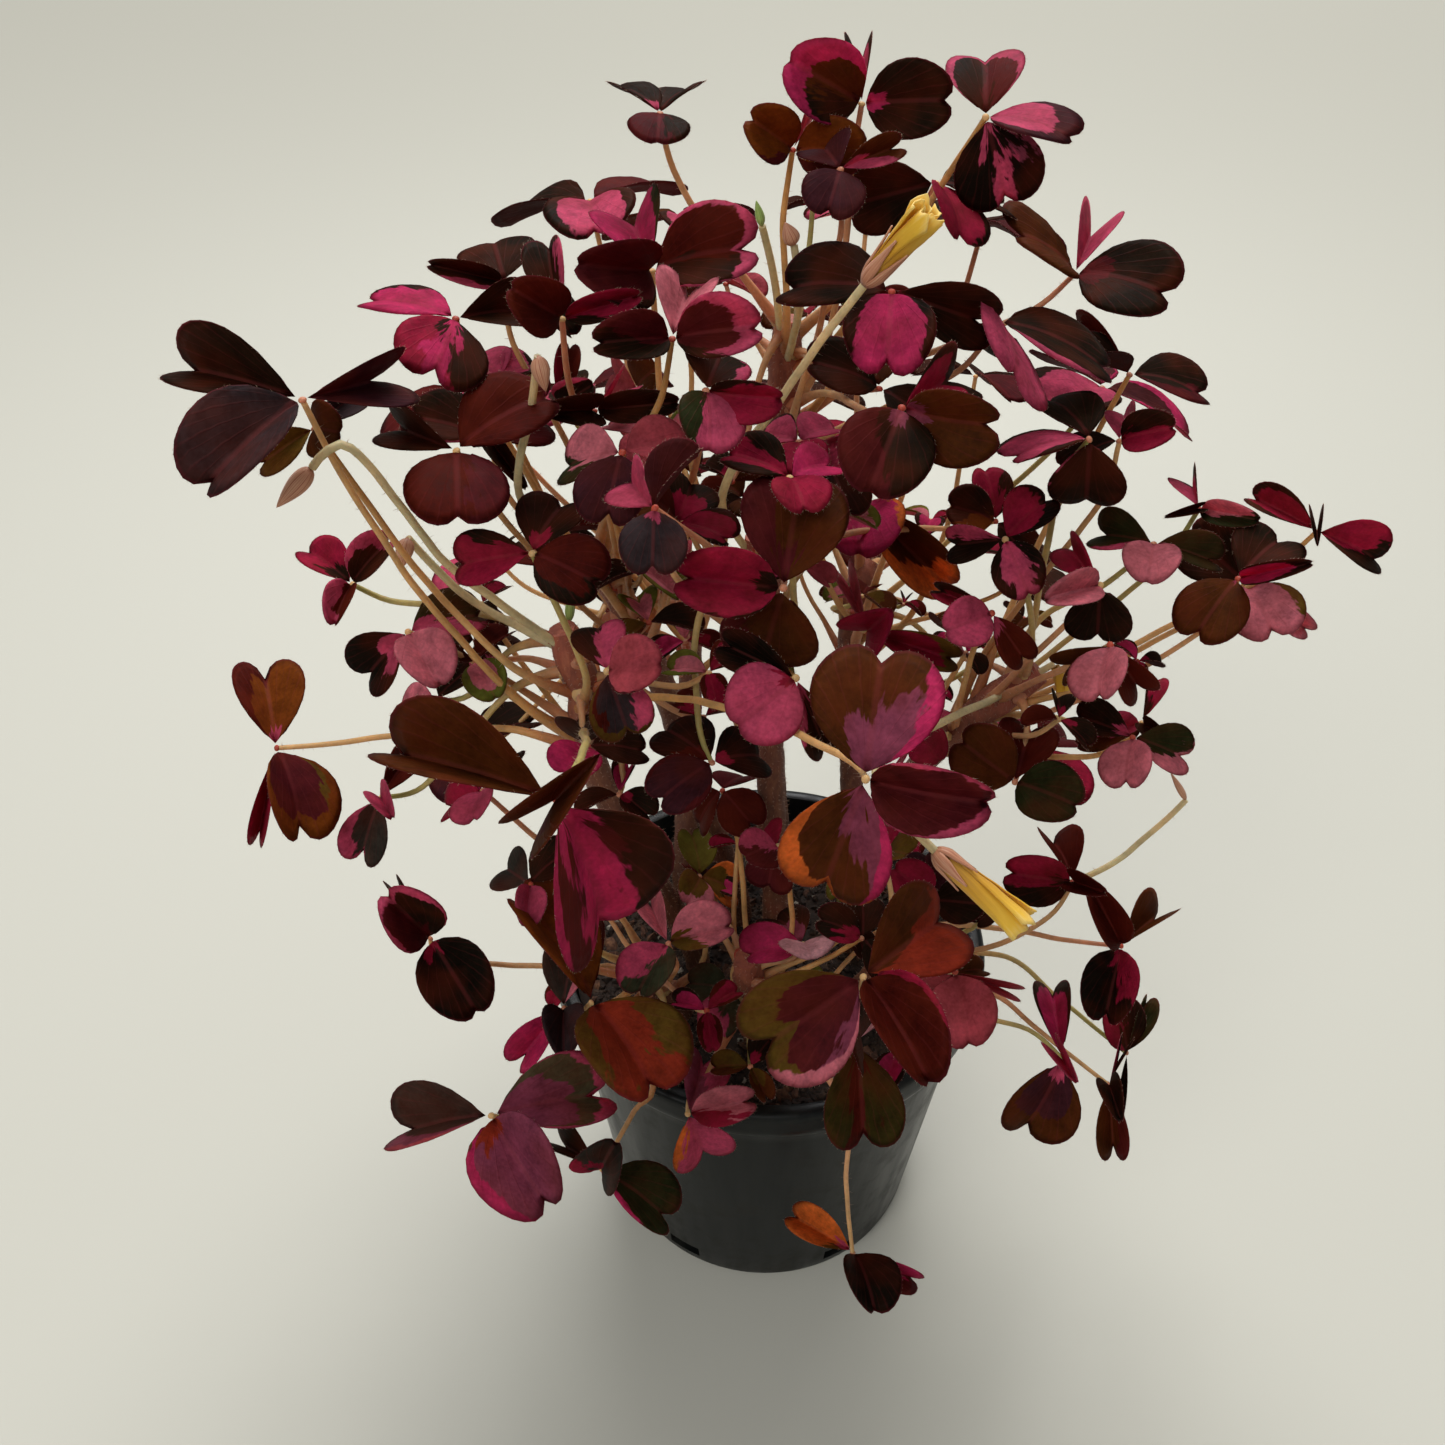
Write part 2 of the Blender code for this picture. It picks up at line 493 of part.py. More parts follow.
def petiole_path(hub, normal, root, stem_way, bow):
    """From under the hub to inside the stem: leaves the hub downwards and joins rising."""
    start = hub - normal * BLADE_THICKNESS
    gap = (root - start).length
    first = start - normal * min(6.0, gap * 0.22)
    side = (root - start).cross(Vector((0.0, 0.0, 1.0)))
    if side.length > 0.01:
        side.normalize()
    last = root + stem_way * gap * 0.30 + side * bow
    flat = math.hypot(hub.x, hub.y)
    if flat > POT_RIM_RADIUS and min(start.z, last.z) < POT_HEIGHT + 6.0:
        over = Vector((hub.x, hub.y, 0.0)) / flat * (POT_RIM_RADIUS + 1.0)
        over.z = POT_HEIGHT + 3.0 + max(0.0, start.z - POT_HEIGHT) * 0.3
        first = start - normal * 2.0
        return smooth_path([start, (first + over) * 0.5 + Vector((0.0, 0.0, 1.5)), over, root], 1)
    points = [start]
    count = 4 if gap > 24.0 else 3
    for i in range(1, count + 1):
        t = i / count
        a = start * (1 - t) ** 3 + first * 3 * t * (1 - t) ** 2
        points.append(a + last * 3 * t * t * (1 - t) + root * t ** 3)
    return points


def stem_path(name):
    """Points of a stem from the bottom of its hole to its crown."""
    stem = STEMS[name]
    foot = Vector((*stem["foot"], POT_HEIGHT - SOIL_BELOW_RIM - STEM_HOLE_DEPTH + CLEARANCE))
    level = foot + Vector((0.0, 0.0, STEM_HOLE_DEPTH + 2.6))
    points = [foot, level] + [photo_point(pixel, back) for pixel, back in stem["through"]]
    return points


def tube(points, radii, sides):
    """A closed tube along points, with flat ends."""
    verts = []
    faces = []
    arm = None
    for i, here in enumerate(points):
        before = points[max(i - 1, 0)]
        after = points[min(i + 1, len(points) - 1)]
        way = (after - before).normalized()
        if arm is None:
            arm = way.orthogonal().normalized()
        else:
            arm = (arm - way * arm.dot(way)).normalized()
        other = way.cross(arm)
        for k in range(sides):
            turn = math.tau * k / sides
            verts.append(here + (arm * math.cos(turn) + other * math.sin(turn)) * radii[i])
        if i:
            base = (i - 1) * sides
            for k in range(sides):
                j = (k + 1) % sides
                faces.append((base + k, base + j, base + sides + j, base + sides + k))
    faces.append(tuple(reversed(range(sides))))
    last = (len(points) - 1) * sides
    faces.append(tuple(range(last, last + sides)))
    return verts, faces


def smooth_path(points, between):
    """Catmull-Rom points through the given ones."""
    out = [points[0]]
    for i in range(len(points) - 1):
        p0 = points[max(i - 1, 0)]
        p1 = points[i]
        p2 = points[i + 1]
        p3 = points[min(i + 2, len(points) - 1)]
        for k in range(1, between + 1):
            t = k / between
            bent = p1 * 2 + (p2 - p0) * t + (p0 * 2 - p1 * 5 + p2 * 4 - p3) * t * t
            bent = bent + (p1 * 3 - p0 - p2 * 3 + p3) * t ** 3
            out.append(bent * 0.5)
    return out


def lathe(profile, sides):
    """A closed solid turned about z from a profile that starts and ends on the axis."""
    verts = [Vector((0.0, 0.0, profile[0][1]))]
    faces = []
    rows = []
    for radius, height in profile[1:-1]:
        row = []
        for k in range(sides):
            turn = math.tau * k / sides
            row.append(len(verts))
            verts.append(Vector((radius * math.cos(turn), radius * math.sin(turn), height)))
        rows.append(row)
    end = len(verts)
    verts.append(Vector((0.0, 0.0, profile[-1][1])))
    for k in range(sides):
        j = (k + 1) % sides
        faces.append((0, rows[0][j], rows[0][k]))
        for low, high in zip(rows, rows[1:]):
            faces.append((low[k], low[j], high[j], high[k]))
        faces.append((end, rows[-1][k], rows[-1][j]))
    return verts, faces


def bvh(verts, faces):
    return BVHTree.FromPolygons([tuple(v) for v in verts], faces, all_triangles=False)


def bounds(verts):
    low = [min(v[i] for v in verts) for i in range(3)]
    high = [max(v[i] for v in verts) for i in range(3)]
    return low, high


def apart(a, b):
    return any(a[0][i] > b[1][i] or b[0][i] > a[1][i] for i in range(3))


class Placed:
    """A body already placed, with its box and tree for clearance tests."""

    def __init__(self, node, verts, faces):
        self.node = node
        self.box = bounds(verts)
        self.tree = bvh(verts, faces)


def crossings(node, verts, faces, placed):
    """How many bodies of other nodes, and of its own, a body crosses."""
    box = bounds(verts)
    tree = None
    others = 0
    own = 0
    for body in placed:
        if apart(box, body.box):
            continue
        if tree is None:
            tree = bvh(verts, faces)
        if tree.overlap(body.tree):
            if body.node == node:
                own += 1
            else:
                others += 1
    return others, own


def pot_solid():
    top = POT_HEIGHT
    lip = top - RIM_LIP_HEIGHT
    profile = [
        (0.0, 0.0),
        (POT_BASE_RADIUS - 0.8, 0.0),
        (POT_BASE_RADIUS, 0.8),
        (POT_TOP_RADIUS, lip),
        (POT_RIM_RADIUS - 0.15, lip + 0.15),
        (POT_RIM_RADIUS, lip + 0.5),
        (POT_RIM_RADIUS, top - 0.5),
        (POT_RIM_RADIUS - 0.4, top),
        (POT_TOP_RADIUS - POT_WALL + 0.4, top),
        (POT_TOP_RADIUS - POT_WALL, top - 0.4),
        (POT_BASE_RADIUS - POT_WALL + 0.1, POT_FLOOR + 0.6),
        (POT_BASE_RADIUS - POT_WALL - 0.6, POT_FLOOR),
        (0.0, POT_FLOOR),
    ]
    return lathe(profile, 32)


def shade_round(obj):
    """Smooth shading that keeps the edges sharper than the angle."""
    obj.data.shade_smooth()
    obj.data.set_sharp_from_angle(angle=math.radians(SHARP_ANGLE))


def box_solid(size, place):
    """A box of a size in millimetres, moved by a matrix."""
    half = Vector(size) * 0.5
    verts = []
    for x in (-1, 1):
        for y in (-1, 1):
            for z in (-1, 1):
                verts.append(place @ Vector((x * half.x, y * half.y, z * half.z)))
    faces = [(0, 1, 3, 2), (4, 6, 7, 5), (0, 4, 5, 1), (2, 3, 7, 6), (0, 2, 6, 4), (1, 5, 7, 3)]
    return verts, faces


def inner_radius(height):
    """Radius of the pot's inner wall at a height."""
    low = POT_FLOOR + 0.6
    share = (height - low) / (POT_HEIGHT - 0.4 - low)
    start = POT_BASE_RADIUS - POT_WALL + 0.1
    return start + (POT_TOP_RADIUS - POT_WALL - start) * share


def soil_solid():
    """Filled soil with a lumpy top that dips a little to the wall."""
    rng = random.Random(SEED)
    level = POT_HEIGHT - SOIL_BELOW_RIM
    sides = 16
    gap = CLEARANCE + 0.05
    profile = [(0.0, POT_FLOOR + gap), (inner_radius(POT_FLOOR + 1.2) - gap - 0.9, POT_FLOOR + gap)]
    profile.append((inner_radius(POT_FLOOR + 2.0) - gap, POT_FLOOR + gap + 1.0))
    profile.append((inner_radius(level - 1.0) - gap, level - 1.0))
    for share in (0.86, 0.62, 0.36):
        profile.append((inner_radius(level) * share, level))
    profile.append((0.0, level + 0.5))
    verts, faces = lathe(profile, sides)
    first_top = 1 + sides * 3
    for i in range(first_top, len(verts)):
        verts[i].z += rng.uniform(-0.6, 1.0) * SOIL_LUMP
    return verts, faces


def subtract(target, cutters):
    """Cuts the cutters out of a body, with the change applied."""
    for cutter in cutters:
        cutter.hide_render = True
        cutter.display_type = "WIRE"
        step = target.modifiers.new("cut", "BOOLEAN")
        step.operation = "DIFFERENCE"
        step.object = cutter
        step.solver = "EXACT"
    apply_modifiers(target)
    for cutter in cutters:
        bpy.data.objects.remove(cutter)


def apply_modifiers(obj):
    bpy.context.view_layer.update()
    graph = bpy.context.evaluated_depsgraph_get()
    mesh = bpy.data.meshes.new_from_object(obj.evaluated_get(graph))
    obj.modifiers.clear()
    obj.data = mesh


def join_by_union(name, bodies, look):
    """One body from a stem and everything that grows from it, by one union on a collection."""
    group = bpy.data.collections.new(name + "_parts")
    bpy.context.scene.collection.children.link(group)
    base = add_object(name, *bodies[0], look)
    for verts, faces in bodies[1:]:
        piece = add_object(name + "_piece", verts, faces, look)
        bpy.context.scene.collection.objects.unlink(piece)
        group.objects.link(piece)
    step = base.modifiers.new("join", "BOOLEAN")
    step.operation = "UNION"
    step.operand_type = "COLLECTION"
    step.collection = group
    step.solver = "MANIFOLD"
    apply_modifiers(base)
    for piece in list(group.objects):
        bpy.data.objects.remove(piece)
    bpy.data.collections.remove(group)
    return base


def grow_plant():
    """Every body of every stem, with leaves moved along the line of sight until they cross nothing."""
    rng = random.Random(SEED)
    bodies = {}
    level = POT_HEIGHT - SOIL_BELOW_RIM + SOIL_LUMP + CLEARANCE
    outer = POT_RIM_RADIUS + CLEARANCE
    ring = [(0.0, -4.0), (POT_BASE_RADIUS + 1.0, -4.0), (outer, POT_HEIGHT - RIM_LIP_HEIGHT - 1.0)]
    ring += [(outer, POT_HEIGHT + CLEARANCE), (POT_TOP_RADIUS - POT_WALL - CLEARANCE, POT_HEIGHT + CLEARANCE)]
    ring += [(POT_TOP_RADIUS - POT_WALL - 1.0, level), (0.0, level)]
    placed = [Placed("pot", *lathe(ring, 24))]
    paths = {}
    for name in STEMS:
        foot, *above = stem_path(name)
        path = [foot] + smooth_path(above, 2)
        paths[name] = path
        radii = [STEM_RADIUS] * (len(path) - 3) + [CROWN_RADIUS * 0.85, CROWN_RADIUS, CROWN_RADIUS * 0.7]
        verts, faces = tube(path, radii, STEM_SIDES)
        bodies[name] = [(verts, faces)]
        fat, fat_faces = tube(path, [r + CLEARANCE for r in radii], STEM_SIDES)
        placed.append(Placed(name, fat, fat_faces))
    for bloom in BLOOMS.values():
        add_stalk(bloom, paths, bodies, placed)
    for stalk in STALKS:
        add_stalk(stalk, paths, bodies, placed)
    leaves = [dict(leaf) for leaf in LEAVES] + back_leaves(rng)
    for order, leaf in enumerate(leaves):
        leaf["order"] = order
        place_leaf(leaf, paths, bodies, placed, rng)
    return bodies, paths, leaves


def stalk_points(stalk, paths):
    """From inside the crown, through the photograph's pixels."""
    path = paths[stalk["stem"]]
    root = path[-2]
    seen = [photo_point(pixel, back) for pixel, back in stalk["path"]]
    return smooth_path([root] + seen, 2)


def add_stalk(stalk, paths, bodies, placed):
    """A flower stalk with its calyx or bud, fused to its stem."""
    name = stalk["stem"]
    points = stalk_points(stalk, paths)
    radii = [0.5] * len(points)
    radii[0] = 0.7
    parts = [(points, radii)]
    end = points[-1]
    if "tip" in stalk:
        tip = photo_point(stalk["tip"], stalk["tip_back"])
        way = (tip - end).normalized()
        stalk["base"] = end
        stalk["way"] = way
        cup = [end - way * 0.6, end + way * 0.9, end + way * CALYX_LENGTH]
        parts.append((cup, [0.55, 1.15, 1.3]))
    else:
        tip = photo_point(stalk["bud"], stalk["bud_back"])
        way = (tip - end).normalized()
        bud_length = min((tip - end).length, 5.5)
        bud = [end - way * 0.5, end + way * bud_length * 0.35, end + way * bud_length * 0.8]
        bud.append(end + way * bud_length)
        parts.append((bud, [0.5, 1.15, 0.75, 0.3]))
    for line, sizes in parts:
        bodies[name].append(tube(line, sizes, STALK_SIDES))
        placed.append(Placed(name, *tube(line, [r + CLEARANCE for r in sizes], STALK_SIDES)))
    if "tip" in stalk:
        full = [end, end + stalk["way"] * BLOOM_LENGTH]
        placed.append(Placed("bloom", *tube(full, [1.2, BLOOM_TIP_RADIUS + CLEARANCE + 0.3], 6)))


def back_leaves(rng):
    """Leaves on the side away from the photograph, by a golden-angle spread over the plant's dome."""
    out = []
    for which, name in enumerate(("back_left", "back_right")):
        for i in range(BACK_LEAVES_EACH):
            share = (i + 0.5) / BACK_LEAVES_EACH
            turn = math.radians(20 + 140 * ((i * 0.618) % 1.0))
            if which == 0:
                turn = math.pi - turn * 0.62
            else:
                turn = turn * 0.62
            height = -34.0 + 82.0 * share
            flat = math.sqrt(max(0.0, 1.0 - (height / (PLANT_RADIUS + 8.0)) ** 2)) * PLANT_RADIUS
            flat *= rng.uniform(0.82, 1.05)
            hub = PLANT_CENTRE + Vector((math.cos(turn) * flat, math.sin(turn) * flat, height))
            out.append(dict(stem=name, at=hub, length=BACK_LEAFLET * rng.uniform(0.8, 1.15),
                            spin=rng.uniform(0.0, math.tau)))
    return out


def free_axes(hub, spin, rng_tilt):
    """Leaflet directions for a leaf whose tips aren't read from the photograph."""
    facing = natural_normal(hub, 0.0)
    first = facing.orthogonal().normalized()
    second = facing.cross(first)
    axes = []
    for k in range(3):
        turn = spin + math.tau * k / 3
        flat = first * math.cos(turn) + second * math.sin(turn)
        axes.append((flat - facing * (0.12 + rng_tilt)).normalized())
    return axes


def leaf_pose(leaf, shift, bow, paths):
    """Where a leaf is when it is moved along the line of sight, and its petiole's path."""
    if "at" in leaf:
        hub = leaf["at"] + Vector((0.0, 0.0, shift))
        length = leaf["length"]
        facing = natural_normal(hub, 0.0)
        axes = free_axes(hub, leaf["spin"], 0.1)
    else:
        hub = photo_point(leaf["hub"], leaf["back"] + shift)
        depth = (hub - EYE).dot(photo_ray((PHOTO_SIDE / 2, PHOTO_SIDE / 2)))
        scale = PHOTO_FOCAL / depth
        reach = max(math.dist(leaf["hub"], tip) for tip in leaf["tips"]) / scale
        reach = reach * TIP_PAST_NOTCH * leaf.get("long", 1.0)
        length = min(max(reach, MIN_LEAFLET), MAX_LEAFLET)
        facing = natural_normal(hub, leaf.get("lean", EYE_LEAN))
        axes = leaf_axes(hub, leaf["tips"], length, facing)
    frame = leaf_frame(axes, facing)
    path = paths[leaf["stem"]]
    down = (leaf["order"] * 0.618) % 1.0 * min(CROWN_REACH, (path[-1] - path[2]).length)
    step = len(path) - 1
    while (path[step] - path[step - 1]).length < down and step > 3:
        down -= (path[step] - path[step - 1]).length
        step -= 1
    way = (path[step] - path[step - 1]).normalized()
    root = path[step] - way * (down + 0.6)
    toward = hub - root
    toward = (toward - way * toward.dot(way)).normalized()
    root = root + toward * 0.7
    pose = dict(hub=hub, length=length, frame=frame, facing=facing)
    pose["roll"] = 0.0 if "at" in leaf else ROLL_TO_EYE
    read = [next(i for i, way in enumerate(axes) if way is axis) for axis in frame[3]]
    pose["turns"] = [leaf.get("turns", (None,) * 3)[i] for i in read]
    folds = leaf.get("folds", (leaf["fold"],) * 3)
    pose["folds"] = [math.radians(folds[i]) for i in read]
    pose["path"] = petiole_path(hub, frame[0], root, (way + toward * 0.8).normalized(), bow)
    return pose


def place_leaf(leaf, paths, bodies, placed, rng):
    """Tries small moves and bends, nearest first, and keeps the first that crosses nothing."""
    leaf["fold"] = rng.uniform(LEAST_FOLD, MOST_FOLD)
    best = None
    for step in range(13):
        shift = (step + 1) // 2 * 1.6 * (-1 if step % 2 else 1)
        for bow in (0.0, 4.0, -4.0, 8.0, -8.0):
            pose = leaf_pose(leaf, shift, bow, paths)
            others, own = crossings(leaf["stem"], *leaf_mesh(pose, CLEARANCE * 0.5), placed)
            cost = others * 100 + max(0, own - 1) * 4 + abs(shift) + abs(bow) * 0.3
            if best is None or cost < best[0]:
                best = (cost, others, pose)
        if best[0] < abs(shift) + 3.0:
            break
    leaf["pose"] = best[2]
    leaf["crossed"] = best[1]
    bodies[leaf["stem"]].append(leaf_mesh(best[2]))
    placed.append(Placed(leaf["stem"], *leaf_mesh(best[2], CLEARANCE * 0.5)))


def corolla(bloom):
    """The closed, rolled petals as one fluted tube that stands clear in its calyx."""
    base, way = bloom["base"], bloom["way"]
    arm = way.orthogonal().normalized()
    other = way.cross(arm)
    start = CALYX_LENGTH + CLEARANCE
    rows = [(start, 1.0, 0.0), (start + 2.2, 1.2, 0.2), (BLOOM_LENGTH - 1.2, BLOOM_TIP_RADIUS, 0.55)]
    rows.append((BLOOM_LENGTH, BLOOM_TIP_RADIUS * 0.86, 0.7))
    sides = 10
    verts = []
    faces = []
    for along, radius, twist in rows:
        for k in range(sides):
            turn = math.tau * k / sides + twist
            size = radius * (1.0 if k % 2 == 0 else 0.82)
            verts.append(base + way * along + (arm * math.cos(turn) + other * math.sin(turn)) * size)
    for row in range(len(rows) - 1):
        for k in range(sides):
            j = (k + 1) % sides
            low = row * sides
            faces.append((low + k, low + j, low + sides + j))
            faces.append((low + k, low + sides + j, low + sides + k))
    bottom = len(verts)
    verts.append(base + way * start)
    top = len(verts)
    verts.append(base + way * (BLOOM_LENGTH - 0.8))
    last = (len(rows) - 1) * sides
    for k in range(sides):
        j = (k + 1) % sides
        faces.append((bottom, j, k))
        faces.append((top, last + k, last + j))
    return verts, faces


def main():
    for obj in list(bpy.data.objects):
        bpy.data.objects.remove(obj, do_unlink=True)
    pot_look = material("pot_plastic", (0.02, 0.023, 0.025), 0.45)
    soil_look = material("soil", (0.03, 0.018, 0.01), 0.95)
    stem_look = material("leafy_stem", (0.16, 0.02, 0.04), 0.6)
    petal_look = material("petal", (0.8, 0.55, 0.05), 0.6)
    pot = add_object("pot", *pot_solid(), pot_look)
    cutters = []
    for k in range(SLOT_COUNT):
        turn = Matrix.Rotation(math.tau * (k + 0.5) / SLOT_COUNT - 0.55, 4, "Z")
        place = turn @ Matrix.Translation((POT_BASE_RADIUS - 1.0, 0.0, 0.5 + POT_FLOOR + SLOT_HEIGHT * 0.5))
        cutters.append(add_object("slot_cutter", *box_solid((5.0, SLOT_WIDTH, SLOT_HEIGHT), place), pot_look))
    subtract(pot, cutters)
    shade_round(pot)
    soil = add_object("soil", *soil_solid(), soil_look)
    holes = []
    for name, stem in STEMS.items():
        bottom = Vector((*stem["foot"], POT_HEIGHT - SOIL_BELOW_RIM - STEM_HOLE_DEPTH))
        top = bottom + Vector((0.0, 0.0, STEM_HOLE_DEPTH + 8.0))
        hole = tube([bottom, top], [STEM_RADIUS + CLEARANCE + 0.25] * 2, 8)
        holes.append(add_object("stem_hole", *hole, soil_look))
    subtract(soil, holes)
    shade_round(soil)
    bodies, paths, leaves = grow_plant()
    crossed = sum(1 for leaf in leaves if leaf["crossed"])
    print("leaves", len(leaves), "still crossing another stem's", crossed)
    for name, parts in bodies.items():
        shade_round(join_by_union("leafy_stem_" + name, parts, stem_look))
    for name, bloom in BLOOMS.items():
        shade_round(add_object("bloom_" + name, *corolla(bloom), petal_look))


main()
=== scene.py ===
# Looks of a potted volcanic sorrel: fine coloured leaves, petioles, hairs, blooms, soil and pot
# Lengths are in millimetres until a mesh is made, and the side that the photograph shows faces -y
import math
import random
from functools import partial

import bmesh
import bpy
import numpy as np
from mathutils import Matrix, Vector, noise
from mathutils.bvhtree import BVHTree


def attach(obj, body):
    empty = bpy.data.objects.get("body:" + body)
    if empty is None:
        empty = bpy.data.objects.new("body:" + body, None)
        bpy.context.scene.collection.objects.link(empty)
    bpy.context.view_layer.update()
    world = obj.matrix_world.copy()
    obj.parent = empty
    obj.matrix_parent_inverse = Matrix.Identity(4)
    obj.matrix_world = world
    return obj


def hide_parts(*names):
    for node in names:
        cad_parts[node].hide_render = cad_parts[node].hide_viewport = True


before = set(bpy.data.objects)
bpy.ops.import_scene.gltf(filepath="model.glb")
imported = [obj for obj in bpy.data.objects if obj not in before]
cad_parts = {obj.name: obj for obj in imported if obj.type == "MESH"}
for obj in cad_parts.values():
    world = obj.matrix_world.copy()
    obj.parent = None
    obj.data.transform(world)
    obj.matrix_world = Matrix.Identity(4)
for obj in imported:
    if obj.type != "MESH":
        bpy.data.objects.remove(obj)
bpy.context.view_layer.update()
mm = 0.001
upwards = Vector((0.0, 0.0, 1.0))

# The camera that took the photograph, fitted to the pot's outline
photo = dict(side=1445, focal=1449.0, eye=Vector((-6.4, -134.5, 204.7)), pitchDown=math.radians(40.5))

# Sizes shared with the solids, in millimetres
potSizes = dict(
    rimRadius=30.0, topRadius=28.9, baseRadius=22.8, height=51.0, wall=1.1, floor=1.6, lipHeight=4.6,
    slots=6, slotWidth=5.0, slotHeight=2.4, slotTurn=-0.55)
soilSizes = dict(belowRim=4.0, lump=1.3, holeDepth=14.0)
soilTop = potSizes["height"] - soilSizes["belowRim"]
plantSizes = dict(
    clearance=0.3, stemRadius=1.75, stemSides=6, straight=2.6, stalkSides=4, crownRadius=2.1,
    crownSwell=(0.85, 1.0, 0.7), crownReach=17.0, petioleRadius=0.62, hubRadius=0.95,
    bladeThickness=0.76, eyeLean=0.75, roll=0.4, shortest=6.5, longest=15.5, seed=27)
bloomSizes = dict(
    length=9.8, footRadius=1.2, tipRadius=1.75, sides=6, stalkRadius=0.5, rootRadius=0.7,
    calyxStations=(-0.6, 0.9, 4.2), calyxRadii=(0.55, 1.15, 1.3), budLength=5.5, budBottom=0.5,
    budStations=(0.35, 0.8), budRadii=(0.5, 1.15, 0.75, 0.3))
golden = 0.618  # steps of this share of a range fill it evenly

# The plain leaflet that keeps leaves clear of each other: along the midrib, and half the width there
bladeOutline = dict(
    shoulder=(0.3, 0.31), broadest=(0.64, 0.44), lobe=(0.98, 0.25), notchAt=0.86, plainBelow=11.6,
    bendAt=0.5, bulge=0.07)

# A stem rises from a point in the soil through pixels of the photograph, each with how far back it is
stems = {
    "left": dict(foot=(-10, -3), through=[((598, 775), -14), ((583, 690), -14), ((562, 628), -14)]),
    "upper_left": dict(foot=(-4, 6), through=[((668, 700), 4), ((622, 600), 4), ((588, 545), 4)]),
    "top": dict(foot=(2, 10), through=[((765, 600), 12), ((782, 440), 13), ((787, 318), 14)]),
    "centre": dict(foot=(1, -5), through=[((768, 690), -6), ((764, 600), -8), ((758, 535), -8)]),
    "right": dict(foot=(12, 1), through=[((905, 790), 0), ((965, 722), -2), ((1040, 672), -2)]),
    "low_left": dict(foot=(-12, -11), through=[((652, 985), -13), ((640, 955), -15)]),
    "low_front": dict(foot=(-2, -15), through=[((750, 990), -15), ((746, 958), -17)]),
    "low_right": dict(foot=(12, -10), through=[((882, 962), -10), ((908, 925), -12)]),
    "back_left": dict(foot=(-12, 12), through=[((690, 640), 30), ((672, 560), 36)]),
    "back_right": dict(foot=(13, 12), through=[((850, 640), 30), ((872, 560), 36)]),
}

